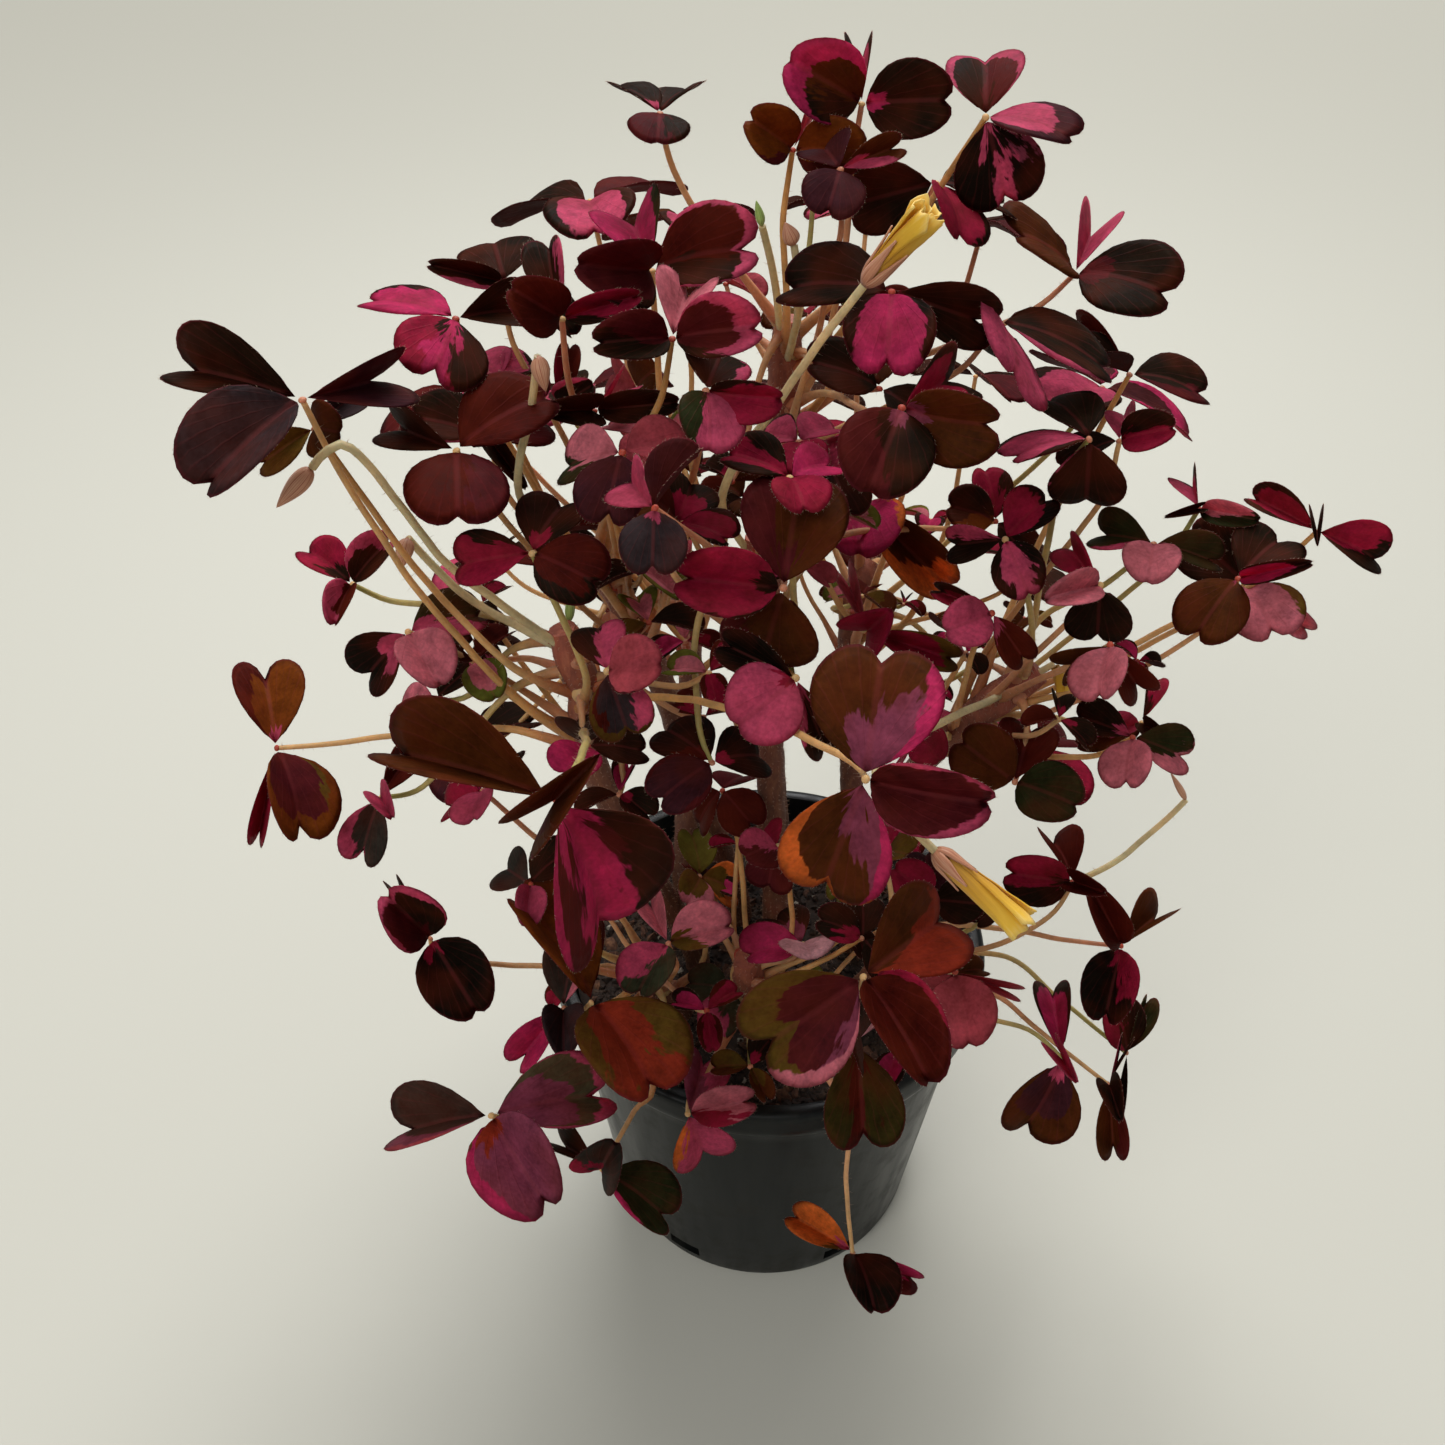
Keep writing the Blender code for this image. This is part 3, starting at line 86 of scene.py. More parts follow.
leaves = dict(
    top=[
        dict(hub=(660, 113), back=12, lean=0.2, tips=[(613, 87), (694, 90), (657, 146)],
            turns=[-70, 70, 0], folds=[22, 22, 10],
            tones=["dark pink:down:0.45", "dark", "burgundy dark:right:0.1"]),
        dict(hub=(862, 103), back=14, lean=1.3, tips=[(784, 58), (860, 64), (957, 100)], turns=[-5, 0, 5],
            folds=[40, 72, 33],
            tones=["brown dark:down:0.15 hot:upleft:0.5", "pink dark:edge:0.7", "dark hot:base:0.5"]),
        dict(hub=(793, 149), back=12, lean=1.5, tips=[(740, 112), (812, 120), (869, 152)],
            turns=[-5, 10, 5], folds=[45, 78, 38],
            tones=["orangebrown burgundy:down:0.35", "dusty", "orangebrown maroon:down:0.2"]),
        dict(hub=(840, 169), back=4, tips=[(903, 145), (825, 222), (822, 150)], turns=[5, 0, None],
            folds=[62, 20, 30], tones=["pink brown:up:0.0", "plum", "plum"]),
        dict(hub=(986, 117), back=8, lean=1.5, tips=[(985, 58), (1076, 140), (1008, 208)],
            turns=[0, 66, 0], folds=[25, 12, 8],
            tones=[
                "dark burgundy:right:0.0 pink:tip:0.7", "pink plum:downright:0.5",
                "black mauve:upright:0.3 pink:mid:0.07"]),
        dict(hub=(936, 182), back=14, tips=[(850, 205), (962, 248), (1008, 214)], turns=[0, 62, 70],
            folds=[35, 18, 18], tones=["dark", "crimson dark:right:0.5", "dark"]),
        dict(hub=(1075, 273), back=16, lean=2.6, tips=[(1003, 231), (1091, 236), (1179, 299)],
            turns=[-67, 0, 40], folds=[14, 65, 15], tones=["brown", "pink", "dark burgundy:upleft:0.3"]),
        dict(hub=(892, 291), back=-2, lean=1.2, tips=[(778, 292), (994, 326), (885, 385)],
            turns=[-55, 0, 0], folds=[20, 52, 28],
            tones=["dark", "dark pink:downleft:0.5", "black hot:mid:0.42"]),
        dict(hub=(998, 321), back=6, tips=[(1010, 388), (1112, 376), (948, 318)], turns=[70, 68, 75],
            folds=[8, 10, 20], tones=["pink", "dark pink:down:0.75", "dark"]),
        dict(hub=(902, 407), back=-18, tips=[(1008, 426), (868, 498), (950, 380)], turns=[-25, 0, 0],
            folds=[35, 25, 50],
            tones=[
                "brown mauve:upleft:0.3", "dark burgundy:left:0.1 mauve:base:0.55",
                "crimson dark:tip:0.5"]),
        dict(hub=(880, 388), back=4, tips=[(803, 362), (850, 340)], tones=["dark", "brown", "dark"])],
    upper_left=[
        dict(hub=(652, 270), back=-2, tips=[(634, 226), (563, 262), (768, 246)], turns=[0, 5, 28],
            folds=[50, 58, 32],
            tones=[
                "hot green:upright:0.55", "burgundy dark:down:0.5",
                "maroon dark:down:0.05 pink:tip:0.8"]),
        dict(hub=(562, 318), back=-10, tips=[(548, 243), (503, 283), (645, 294)], turns=[14, 0, 0],
            folds=[55, 45, 70], tones=["dark pink:right:0.2", "maroon", "crimson dark:down:0.2"]),
        dict(hub=(672, 338), back=-14, tips=[(583, 345), (692, 290), (768, 328)], turns=[-8, 15, 12],
            folds=[58, 50, 50],
            tones=["dark burgundy:up:0.0", "dusty", "burgundy pink:right:0.45 dark:down:0.4"]),
        dict(hub=(456, 318), back=-6, tips=[(362, 303), (427, 388), (520, 312)], turns=[-68, 0, 15],
            folds=[14, 8, 55], tones=["hot dark:up:0.55", "dark crimson:left:0.0 hot:mid:0.1", "dark"]),
        dict(hub=(505, 282), back=10, lean=0.2, tips=[(494, 243), (423, 263)], turns=[0, 0, 60],
            folds=[8, 72, 25], tones=["dark", "dark pink:down:0.3", "dark"]),
        dict(hub=(706, 390), back=-20, tips=[(722, 352), (708, 455), (786, 398)], turns=[0, 19, -15],
            folds=[12, 25, 55],
            tones=["dark pink:right:0.45", "green pink:right:-0.1", "crimson dark:up:0.2"]),
        dict(hub=(594, 410), back=-6, lean=0.2, tips=[(683, 402), (532, 410), (610, 396)], turns=[0, 0, 0],
            folds=[68, 70, 70], tones=["dark", "dark", "pink"]),
        dict(hub=(560, 404), back=4, tips=[(531, 410), (570, 346), (598, 382)], turns=[0, 0, 0],
            folds=[62, 62, 50],
            tones=["dark pink:up:0.35", "maroon crimson:left:0.1", "dark pink:edge:0.8"]),
        dict(hub=(502, 378), back=6, tips=[(476, 358), (538, 366), (480, 402)],
            tones=["pink", "pink dark:right:0.2", "dusty"]),
        dict(hub=(490, 440), back=-4, tips=[(404, 418), (531, 414)], turns=[-40, 0, 0], folds=[25, 35, 76],
            tones=["dark pink:down:0.45", "burgundy", "dark"]),
        dict(hub=(456, 450), back=-16, long=1.35, tips=[(458, 530), (400, 428)], turns=[0, 0, None],
            folds=[10, 60, 25], tones=["maroon burgundy:right:0.1", "dark", "maroon"]),
        dict(hub=(622, 452), back=-22, tips=[(606, 530), (564, 470), (690, 446)],
            tones=["plum hot:right:0.5", "dusty green:down:0.1", "dustyred"]),
        dict(hub=(652, 436), back=-8, tips=[(700, 470), (606, 428), (640, 480)],
            tones=["dark", "dusty", "dustyred"])],
    centre=[
        dict(hub=(676, 524), back=-18, tips=[(736, 546), (692, 482), (640, 494)],
            tones=["crimson black:edge:0.8", "crimson dark:up:0.1", "maroon"]),
        dict(hub=(654, 508), back=-32, tips=[(652, 578), (632, 482)], turns=[0, None, None],
            folds=[10, 40, 60], tones=["plumgrey pink:base:0.6", "pink", "plum"]),
        dict(hub=(783, 588), back=-30, tips=[(800, 480), (664, 576), (762, 663)], turns=[0, 0, 0],
            folds=[25, 50, 6],
            tones=[
                "brown burgundy:left:0.1", "crimson dark:upright:0.35 dark:down:0.5",
                "brown burgundy:left:0.3"]),
        dict(hub=(796, 678), back=-34, tips=[(718, 641), (734, 728), (826, 750)], turns=[0, 0, 0],
            folds=[56, 18, 64], tones=["black", "pink crimson:up:0.35", "dark pink:left:0.2"]),
        dict(hub=(799, 441), back=-10, tips=[(756, 444), (838, 430), (806, 480)],
            tones=["pink black:tip:0.7", "pink", "crimson"]),
        dict(hub=(790, 477), back=-20, tips=[(726, 456), (836, 466)],
            tones=["dark crimson:mid:0.2", "hot", "crimson"]),
        dict(hub=(745, 498), back=6, tips=[(712, 480), (764, 520), (700, 530)],
            tones=["brown", "brown", "dark"]),
        dict(hub=(712, 762), back=-24, tips=[(653, 806), (762, 757), (664, 730)],
            tones=["plum burgundy:edge:0.9", "black crimson:base:0.5", "black maroon:down:0.2"]),
        dict(hub=(862, 503), back=12, tips=[(858, 568), (946, 586)], turns=[0, 0, None],
            folds=[36, 64, 25], tones=["hot orange:right:0.4", "brown orange:down:0.3", "crimson"]),
        dict(hub=(996, 521), back=14, tips=[(944, 505), (984, 468)],
            tones=["dark orangebrown:down:0.1", "crimson dark:right:0.2", "dark"]),
        dict(hub=(867, 631), back=-6, tips=[(848, 582), (896, 606), (956, 660)], turns=[0, 0, 0],
            folds=[74, 55, 68], tones=["dusty", "crimson", "crimson olive:tip:0.6"]),
        dict(hub=(638, 388), back=12, tips=[(612, 370), (660, 366)],
            tones=["dustyred", "brown", "dustyred"]),
        dict(hub=(832, 472), back=-12, tips=[(850, 520), (824, 440)], tones=["black", "pink", "crimson"])],
    left=[
        dict(hub=(302, 399), back=-22, lean=1.5, tips=[(182, 368), (198, 502), (377, 378)],
            turns=[-15, -32, -5], folds=[58, 44, 66], tones=["dark", "plumgrey", "plum"]),
        dict(hub=(314, 428), back=-18, tips=[(257, 468), (352, 396)], turns=[-10, 0, 0],
            folds=[51, 60, 30], tones=["olive", "plumgrey", "brown"]),
        dict(hub=(352, 584), back=-6, lean=1.6, tips=[(306, 551), (395, 536), (332, 632)],
            turns=[-23, 21, -16], folds=[41, 52, 64],
            tones=["crimson dark:down:0.2", "dark pink:up:0.4", "maroon pink:left:0.1"]),
        dict(hub=(408, 632), back=-20, lean=2.0, tips=[(366, 680), (442, 691), (484, 616)],
            turns=[-18, 12, 32], folds=[36, 42, 32],
            tones=["black pink:right:0.1", "dusty olive:left:0.75", "green pink:down:0.05"]),
        dict(hub=(476, 640), back=-6, tips=[(510, 634), (504, 664)], turns=[29, -30, 0],
            folds=[29, 30, 25], tones=["dark", "dark pink:down:0.2", "dark"]),
        dict(hub=(276, 748), back=-12, lean=2.6, tips=[(262, 666), (303, 849), (259, 835)],
            turns=[-8, 32, -3], folds=[40, 33, 79],
            tones=[
                "orangebrown maroon:left:0.3 pink:base:0.7",
                "burgundy olive:right:0.5 orangebrown:down:0.55", "crimson"]),
        dict(hub=(532, 553), back=-24, lean=0.3, tips=[(458, 565), (606, 590), (566, 502)],
            turns=[-10, 20, 27], folds=[40, 20, 25],
            tones=["crimson dark:up:0.3", "maroon dark:down:0.45", "dark crimson:down:0.4"]),
        dict(hub=(607, 671), back=-34, tips=[(598, 628), (664, 664), (630, 738)],
            tones=[
                "dark pink:right:0.0", "dustyred plum:down:0.55",
                "maroon plumgrey:mid:0.35 pink:right:0.25 olive:down:0.7"]),
        dict(hub=(555, 800), back=-58, lean=1.5, long=1.15, tips=[(392, 753), (603, 931), (606, 748)],
            turns=[-18, 30, 0], folds=[62, 30, 75],
            tones=[
                "brown maroon:down:0.45 pink:down:0.7",
                "burgundy dark:right:0.15 hot:mid:0.16 hot:downleft:0.75", "brown burgundy:down:0.3"]),
        dict(hub=(588, 746), back=-20, tips=[(562, 778), (574, 718)], tones=["hot", "grey", "dark"]),
        dict(hub=(437, 700), back=-10, tips=[(402, 716), (416, 740)], tones=["dusty", "dusty", "dark"]),
        dict(hub=(865, 779), back=-52, lean=1.5, tips=[(884, 646), (1000, 804), (822, 893)],
            turns=[0, -12, 0], folds=[15, 54, 25],
            tones=[
                "brown mauve:downright:0.0 hot:right:0.5", "burgundy pink:tip:0.85",
                "brown mauve:right:0.1 hot:downright:0.65 orange:downleft:0.7"]),
        dict(hub=(380, 797), back=-14, tips=[(408, 756), (360, 864), (397, 826)], turns=[0, -11, 0],
            folds=[58, 40, 68], tones=["maroon", "grey pink:left:0.3", "pink"]),
        dict(hub=(610, 552), back=6, tips=[(626, 606), (650, 500)], tones=["black", "brown", "black"])],
    right=[
        dict(hub=(1130, 374), back=4, tips=[(1075, 322), (1208, 398), (1066, 366)], turns=[0, 58, -70],
            folds=[68, 20, 50], tones=["maroon pink:down:0.2", "dark burgundy:down:0.2", "dark"]),
        dict(hub=(1090, 439), back=-8, tips=[(1003, 463), (1045, 399), (1086, 502)], turns=[-72, -50, 0],
            folds=[12, 20, 20], tones=["pink dark:edge:0.85", "dark", "dark pink:left:0.5"]),
        dict(hub=(1119, 440), back=2, tips=[(1180, 427), (1134, 422)], turns=[10, 60, None],
            folds=[50, 60, 30], tones=["crimson dark:up:0.1", "pink", "dark"]),
        dict(hub=(1317, 531), back=4, lean=1.2, tips=[(1249, 497), (1377, 562)], turns=[-15, 24, 0],
            folds=[62, 48, 80], tones=["crimson dark:edge:0.7", "crimson dark:down:0.1", "dark"]),
        dict(hub=(1238, 578), back=-6, lean=2.0, tips=[(1284, 538), (1318, 562), (1191, 643)],
            turns=[21, 0, -14], folds=[21, 76, 15],
            tones=["dark", "hot dark:tip:0.6", "brown pink:right:0.65"]),
        dict(hub=(1246, 583), back=4, tips=[(1277, 643), (1308, 631)], turns=[19, 0, 0],
            folds=[19, 68, 30], tones=["dusty olive:right:0.6", "dusty", "dark"]),
        dict(hub=(1154, 543), back=0, lean=1.5, tips=[(1098, 535), (1146, 586), (1221, 566)],
            turns=[-17, 0, 23], folds=[47, 25, 50],
            tones=["green pink:down:0.3", "dusty", "green pink:downleft:0.4"]),
        dict(hub=(1199, 508), back=6, tips=[(1193, 486), (1262, 521), (1157, 519)], turns=[14, 0, 0],
            folds=[62, 65, 80], tones=["pink dark:up:0.4", "dusty green:down:0.1", "dark"]),
        dict(hub=(1100, 585), back=-10, lean=1.5, long=1.2, tips=[(1097, 642), (1040, 602), (1071, 547)],
            turns=[0, -5, 11], folds=[10, 63, 56], tones=["dark pink:base:0.75", "dusty", "crimson"]),
        dict(hub=(1005, 539), back=-10, tips=[(952, 545), (1050, 498), (1030, 597)], turns=[0, 24, 0],
            folds=[50, 30, 20],
            tones=["dark pink:up:0.1", "crimson black:right:0.4", "black pink:mid:0.25"]),
        dict(hub=(992, 613), back=-14, tips=[(933, 588), (942, 632), (1026, 662)], turns=[0, 0, 0],
            folds=[70, 25, 50], tones=["crimson dark:up:0.3", "pink", "maroon pink:left:0.3"]),
        dict(hub=(1110, 645), back=-18, lean=2.0, long=1.15, tips=[(1099, 706), (1068, 666), (1140, 690)],
            turns=[-27, 0, 0], folds=[27, 60, 58], tones=["dusty", "brown", "maroon"]),
        dict(hub=(1133, 737), back=-10, lean=2.0, tips=[(1074, 716), (1126, 793), (1188, 760)],
            turns=[-14, -22, 17], folds=[53, 22, 38],
            tones=["dark pink:right:0.4", "dusty", "green dusty:down:0.1"]),
        dict(hub=(1142, 722), back=0, tips=[(1146, 688), (1074, 746), (1186, 762)], turns=[-21, -3, 0],
            folds=[68, 62, 75], tones=["dark crimson:right:0.0", "pink brown:down:0.2", "dark"]),
        dict(hub=(1015, 782), back=-14, lean=2.0, tips=[(954, 736), (1030, 728), (1082, 808)],
            turns=[0, 0, None], folds=[25, 35, 25], tones=["brown", "maroon", "green"]),
        dict(hub=(922, 737), back=-10, tips=[(958, 716), (904, 764), (942, 764)],
            tones=["pink", "pink", "crimson"])],
    low_right=[
        dict(hub=(1073, 881), back=-10, tips=[(998, 870), (1050, 840), (1118, 897)], turns=[10, -27, 0],
            folds=[48, 53, 70], tones=["crimson dark:down:0.1", "maroon", "maroon"]),
        dict(hub=(1122, 946), back=-12, lean=2.0, tips=[(1160, 918), (1087, 880), (1103, 1030)],
            turns=[20, -4, -5], folds=[63, 65, 50],
            tones=["brown", "maroon", "black crimson:right:0.1 pink:right:0.5"]),
        dict(hub=(1127, 1053), back=-10, tips=[(1112, 996), (1148, 996)], turns=[-27, -12, 0],
            folds=[25, 70, 82], tones=["crimson dark:right:0.0", "green", "dark"]),
        dict(hub=(1062, 1059), back=-22, lean=2.6, long=1.1,
            tips=[(1052, 992), (1020, 1134), (1085, 1095)], turns=[0, 27, 0], folds=[63, 27, 78],
            tones=["hot dark:edge:0.75", "plum pink:base:0.65 brown:down:0.3", "pink"]),
        dict(hub=(1109, 1084), back=-18, lean=2.0, tips=[(1114, 1158), (1118, 1061), (1124, 1130)],
            turns=[0, 0, 0], folds=[61, 80, 70],
            tones=["brown burgundy:right:0.2", "dark pink:left:0.2", "dark"]),
        dict(hub=(955, 972), back=-32, tips=[(970, 1050), (1008, 990), (922, 1008)], turns=[0, 0, 9],
            folds=[25, 78, 25], tones=["dustyred", "dustyred", "dustyred"]),
        dict(hub=(932, 900), back=-16, tips=[(925, 852), (892, 866), (986, 905)],
            tones=["plum", "crimson", "dark"]),
        dict(hub=(884, 858), back=-26, tips=[(824, 882), (878, 830), (912, 856)],
            tones=["burgundy pink:down:0.2", "crimson", "olive"])],
    low_front=[
        dict(hub=(863, 976), back=-44, lean=1.5, tips=[(942, 919), (752, 1051), (933, 1090)],
            turns=[0, 12, 18], folds=[38, 27, 55],
            tones=[
                "brick brown:upleft:0.05", "burgundy mauve:downright:0.35 olive:left:0.4 dusty:down:0.75",
                "maroon crimson:right:0.75"]),
        dict(hub=(857, 1042), back=-33, tips=[(864, 1147), (842, 1006), (884, 1008)], turns=[5, -53, 44],
            folds=[37, 25, 25], tones=["olivedark maroon:mid:0.1", "dark", "pale"]),
        dict(hub=(862, 938), back=-16, tips=[(814, 918), (860, 895)],
            tones=["dark crimson:down:0.1", "dark", "dark"]),
        dict(hub=(803, 943), back=-14, tips=[(742, 958), (772, 918), (812, 962)],
            tones=["hot", "mauve dark:up:0.1", "pale"]),
        dict(hub=(778, 846), back=-17, tips=[(742, 858), (762, 834), (768, 890)],
            tones=["pink burgundy:down:0.0", "crimson", "burgundy"]),
        dict(hub=(700, 876), back=0, tips=[(688, 828), (738, 894), (684, 906)],
            tones=["olivegreen", "olive orange:right:0.3", "olive dusty:down:0.3"]),
        dict(hub=(732, 990), back=-12, tips=[(686, 984), (714, 1040)],
            tones=["greygreen", "greygreen pink:left:0.0", "greygreen"]),
        dict(hub=(688, 1114), back=-33, lean=1.5, tips=[(704, 1060), (762, 1098), (706, 1158)],
            turns=[-11, 0, 0], folds=[46, 55, 30],
            tones=["mauve pink:right:0.1", "dusty crimson:down:0.1", "pink orange:left:0.3"]),
        dict(hub=(853, 1252), back=-37, lean=2.0, tips=[(790, 1214), (876, 1318), (918, 1280)],
            turns=[-6, 28, -10], folds=[58, 40, 65],
            tones=["orange olive:down:0.3 pink:base:0.6", "black", "hot burgundy:down:0.4"]),
        dict(hub=(722, 790), back=-4, tips=[(758, 832), (748, 778), (700, 826)],
            tones=["maroon", "burgundy", "maroon"])],
    low_left=[
        dict(hub=(431, 938), back=-12, lean=2.6, tips=[(377, 885), (480, 1018), (405, 900)],
            turns=[0, 0, 0], folds=[52, 42, 80],
            tones=["dark burgundy:downleft:0.0 pink:tip:0.8", "black crimson:left:0.4", "dark"]),
        dict(hub=(530, 884), back=-24, tips=[(506, 868), (526, 933)], turns=[0, 6, None],
            folds=[25, 55, 25], tones=["grey", "pink", "dark"]),
        dict(hub=(668, 943), back=-16, tips=[(635, 1002), (736, 925), (648, 900)], turns=[-24, 24, 0],
            folds=[36, 41, 60], tones=["greygreen pink:upleft:0.0", "dusty olive:down:0.1", "dusty"]),
        dict(hub=(592, 1002), back=-33, long=1.1, tips=[(661, 1104), (566, 960)], turns=[27, -20, None],
            folds=[28, 55, 25], tones=["olive brick:mid:0.3 hot:left:0.85", "maroon", "orangebrown"]),
        dict(hub=(563, 1008), back=-30, tips=[(581, 936), (518, 1065), (564, 1064)], turns=[21, -9, 0],
            folds=[42, 60, 58], tones=["grey dusty:right:0.1", "hot dark:right:0.6", "plumgrey"]),
        dict(hub=(491, 1115), back=-45, lean=2.0, tips=[(401, 1135), (613, 1093), (557, 1218)],
            turns=[-24, 15, -9], folds=[50, 46, 50],
            tones=[
                "grey mauve:down:0.35 dustyred:down:0.7", "mauve olivegrey:upright:0.25 pink:tip:0.8",
                "mauve brick:left:0.35 hot:down:0.7 olive:downleft:0.95"]),
        dict(hub=(601, 1170), back=-38, lean=1.5, tips=[(561, 1145), (622, 1131), (672, 1225)],
            turns=[-10, 6, 30], folds=[66, 54, 31],
            tones=["dark", "grey crimson:left:0.2", "green hot:downleft:0.4"]),
        dict(hub=(482, 790), back=-16, tips=[(446, 812), (474, 826)], tones=["crimson", "pink", "dark"])])

blooms = {
    "upper": dict(stem="centre", path=[((722, 500), -10), ((785, 392), -13), ((866, 283), -16)],
                  tip=(938, 200), tipBack=-18),
    "lower": dict(stem="right", path=[((905, 742), -26), ((878, 782), -44), ((936, 852), -48)],
                  tip=(1024, 926), tipBack=-52),
}

flowerStalks = [
    dict(stem="left", path=[((455, 570), -20), ((400, 503), -24), ((345, 445), -27), ((312, 468), -28)],
         bud=(276, 508), budBack=-29),
    dict(stem="left", path=[((470, 600), -14), ((408, 538), -16)], bud=(400, 570), budBack=-18),
    dict(stem="upper_left", path=[((524, 505), -12), ((530, 420), -13), ((538, 356), -14)],
         bud=(546, 392), budBack=-15),
    dict(stem="top", path=[((799, 300), 6), ((794, 245), 6)], bud=(785, 222), budBack=6),
    dict(stem="low_right", path=[((1078, 880), -6), ((1140, 842), -5), ((1186, 800), -4)],
         bud=(1168, 768), budBack=-4, radius=0.5),
]

# Leaves on the side that the photograph doesn't show, and how far they spread
backLeaves = dict(
    each=8, leaflet=10.5, grades=(0.8, 1.15), centre=Vector((0.0, 6.0, 102.0)), radius=50.0,
    reaches=(0.82, 1.05), lowest=-34.0, height=82.0, domeHeight=58.0, firstTurn=20, turns=140,
    squeeze=0.62)
youngLeafSizes = dict(
    each=7, lowest=0.45, between=2.4, sway=0.5, rises=(-0.1, 0.9), reaches=(8.0, 17.0),
    lengths=(3.4, 6.2), folds=(32.0, 58.0), seed=3)
youngTones = [
    "dustyred", "maroon crimson:mid:0.3", "hot dark:edge:0.7", "crimson maroon:tip:0.2", "brown",
    "dusty olivegreen:edge:0.5", "olive brown:down:0.1", "dark crimson:base:0.3", "maroon", "dark"]

# Small things between the leaves that the solids leave out: tender leaf tips and a withered bloom
tenderTips = [
    dict(stem="left", path=[((569, 622), -12)], bud=(571, 588), budBack=-12, radius=0.6),
    dict(stem="top", path=[((772, 270), 11), ((762, 226), 9)], bud=(756, 200), budBack=9, radius=0.55),
]
witheredBloom = dict(stem="right", path=[((1054, 664), -2)], tip=(1068, 694), tipBack=-3)


def photoRay(pixel):  # direction from the eye through a pixel
    forward = Vector((0.0, math.cos(photo["pitchDown"]), -math.sin(photo["pitchDown"])))
    upward = Vector((0.0, math.sin(photo["pitchDown"]), math.cos(photo["pitchDown"])))
    across = (pixel[0] - photo["side"] / 2) / photo["focal"]
    down = (pixel[1] - photo["side"] / 2) / photo["focal"]
    return forward + Vector((across, 0.0, 0.0)) - upward * down


def photoPoint(pixel, back):
    # The point seen at a pixel that is so many millimetres back from the pot's middle
    ray = photoRay(pixel)
    return photo["eye"] + ray * ((back - photo["eye"].y) / ray.y)


def aroundWay(way):  # gives the direction across the way at each turn about it
    first = way.orthogonal().normalized()
    second = way.cross(first)
    return lambda turn: first * math.cos(turn) + second * math.sin(turn)


# How leaves stand: they face up and outwards, with leaflets a third of a turn apart that droop a
# little. What a likely pose costs weighs how far leaflets are from that, lie askew or rise
stance = dict(
    outward=0.45, outwardAt=60.0, apart=0.45, tiltCost=0.55, riseCost=0.5, riseFrom=0.15, droop=0.22,
    thirdDroop=0.3, upright=0.35, closest=0.5, widen=1.04)


def naturalNormal(hub, lean):
    # Leaves face up and a little outwards, and those that the photograph shows lean to its eye
    outward = Vector((hub.x, hub.y, 0.0)) / stance["outwardAt"]
    facing = (upwards + outward * stance["outward"]).normalized()
    return (facing + (photo["eye"] - hub).normalized() * lean).normalized()


def tipChoices(hub, pixel, length):
    # The near and far directions in which a leaflet of this length ends at the pixel
    ray = photoRay(pixel).normalized()
    gap = photo["eye"] - hub
    along = ray.dot(gap)
    rest = along * along - gap.length_squared + length * length
    if rest <= 0.0:
        return [(gap - ray * along).normalized()]
    root = math.sqrt(rest)
    return [(gap + ray * (reach - along)).normalized() for reach in (-root, root)]


def poseScore(axes, facing):
    # Leaflets lie about a third of a turn apart, in a plane that faces as leaves do
    pairs = [axes[i].dot(axes[j]) for i in range(len(axes)) for j in range(i)]
    spread = sum((pair + stance["apart"]) ** 2 for pair in pairs)
    tilt = sum(axis.dot(facing) ** 2 for axis in axes)
    rise = sum(max(0.0, axis.dot(facing) - stance["riseFrom"]) for axis in axes)
    return spread + stance["tiltCost"] * tilt + stance["riseCost"] * rise


def leafAxes(hub, tips, length, facing):
    # Leaflet directions for one leaf: of the near and far choices, the most leaf-like set
    sets = [[]]
    for pixel in tips:
        sets = [chosen + [way] for chosen in sets for way in tipChoices(hub, pixel, length)]
    axes = min(sets, key=lambda axes: poseScore(axes, facing))
    if len(axes) == 2:
        third = -(axes[0] + axes[1]) - facing * stance["thirdDroop"]
        if third.length < 0.2:
            third = axes[0].cross(facing)
        axes.append(third.normalized())
    return axes


def leafFrame(axes, facing):  # the leaf's own normal, and its leaflets in order around it
    normal = Vector((0.0, 0.0, 0.0))
    for i in range(3):
        for j in range(i):
            turn = axes[i].cross(axes[j])
            if turn.dot(facing) < 0.0:
                turn = -turn
            normal += turn
    normal = (normal + facing * stance["upright"]).normalized()
    first = (axes[0] - normal * axes[0].dot(normal)).normalized()
    second = normal.cross(first)

    def angle(axis):
        return math.atan2(axis.dot(second), axis.dot(first)) % math.tau

    ordered = sorted(axes, key=angle)
    angles = [angle(axis) for axis in ordered]
    for k in range(1, 3):
        angles[k] = max(angles[k], angles[k - 1] + stance["closest"])
    angles[2] = min(angles[2], angles[0] + math.tau - stance["closest"])
    return normal, first, second, ordered, angles


def leafletSides(pose, k):
    # The way that a leaflet's face looks, and the way across it. A turn that was read from the
    # photograph is how far the face turns away from the eye, about the midrib
    axis = pose["frame"][3][k]
    toEye = (photo["eye"] - pose["hub"]).normalized()
    turn = pose["turns"][k]
    if turn is None:
        up = pose["frame"][0] + toEye * pose["roll"]
        up = up - axis * up.dot(axis)
        if up.length < 0.25:
            up = up + pose["facing"] * 0.5
            up = up - axis * up.dot(axis)
        up.normalize()
    else:
        plain = (toEye - axis * toEye.dot(axis)).normalized()
        turn = math.radians(turn)
        up = plain * math.cos(turn) + plain.cross(axis) * math.sin(turn)
    return up, up.cross(axis)


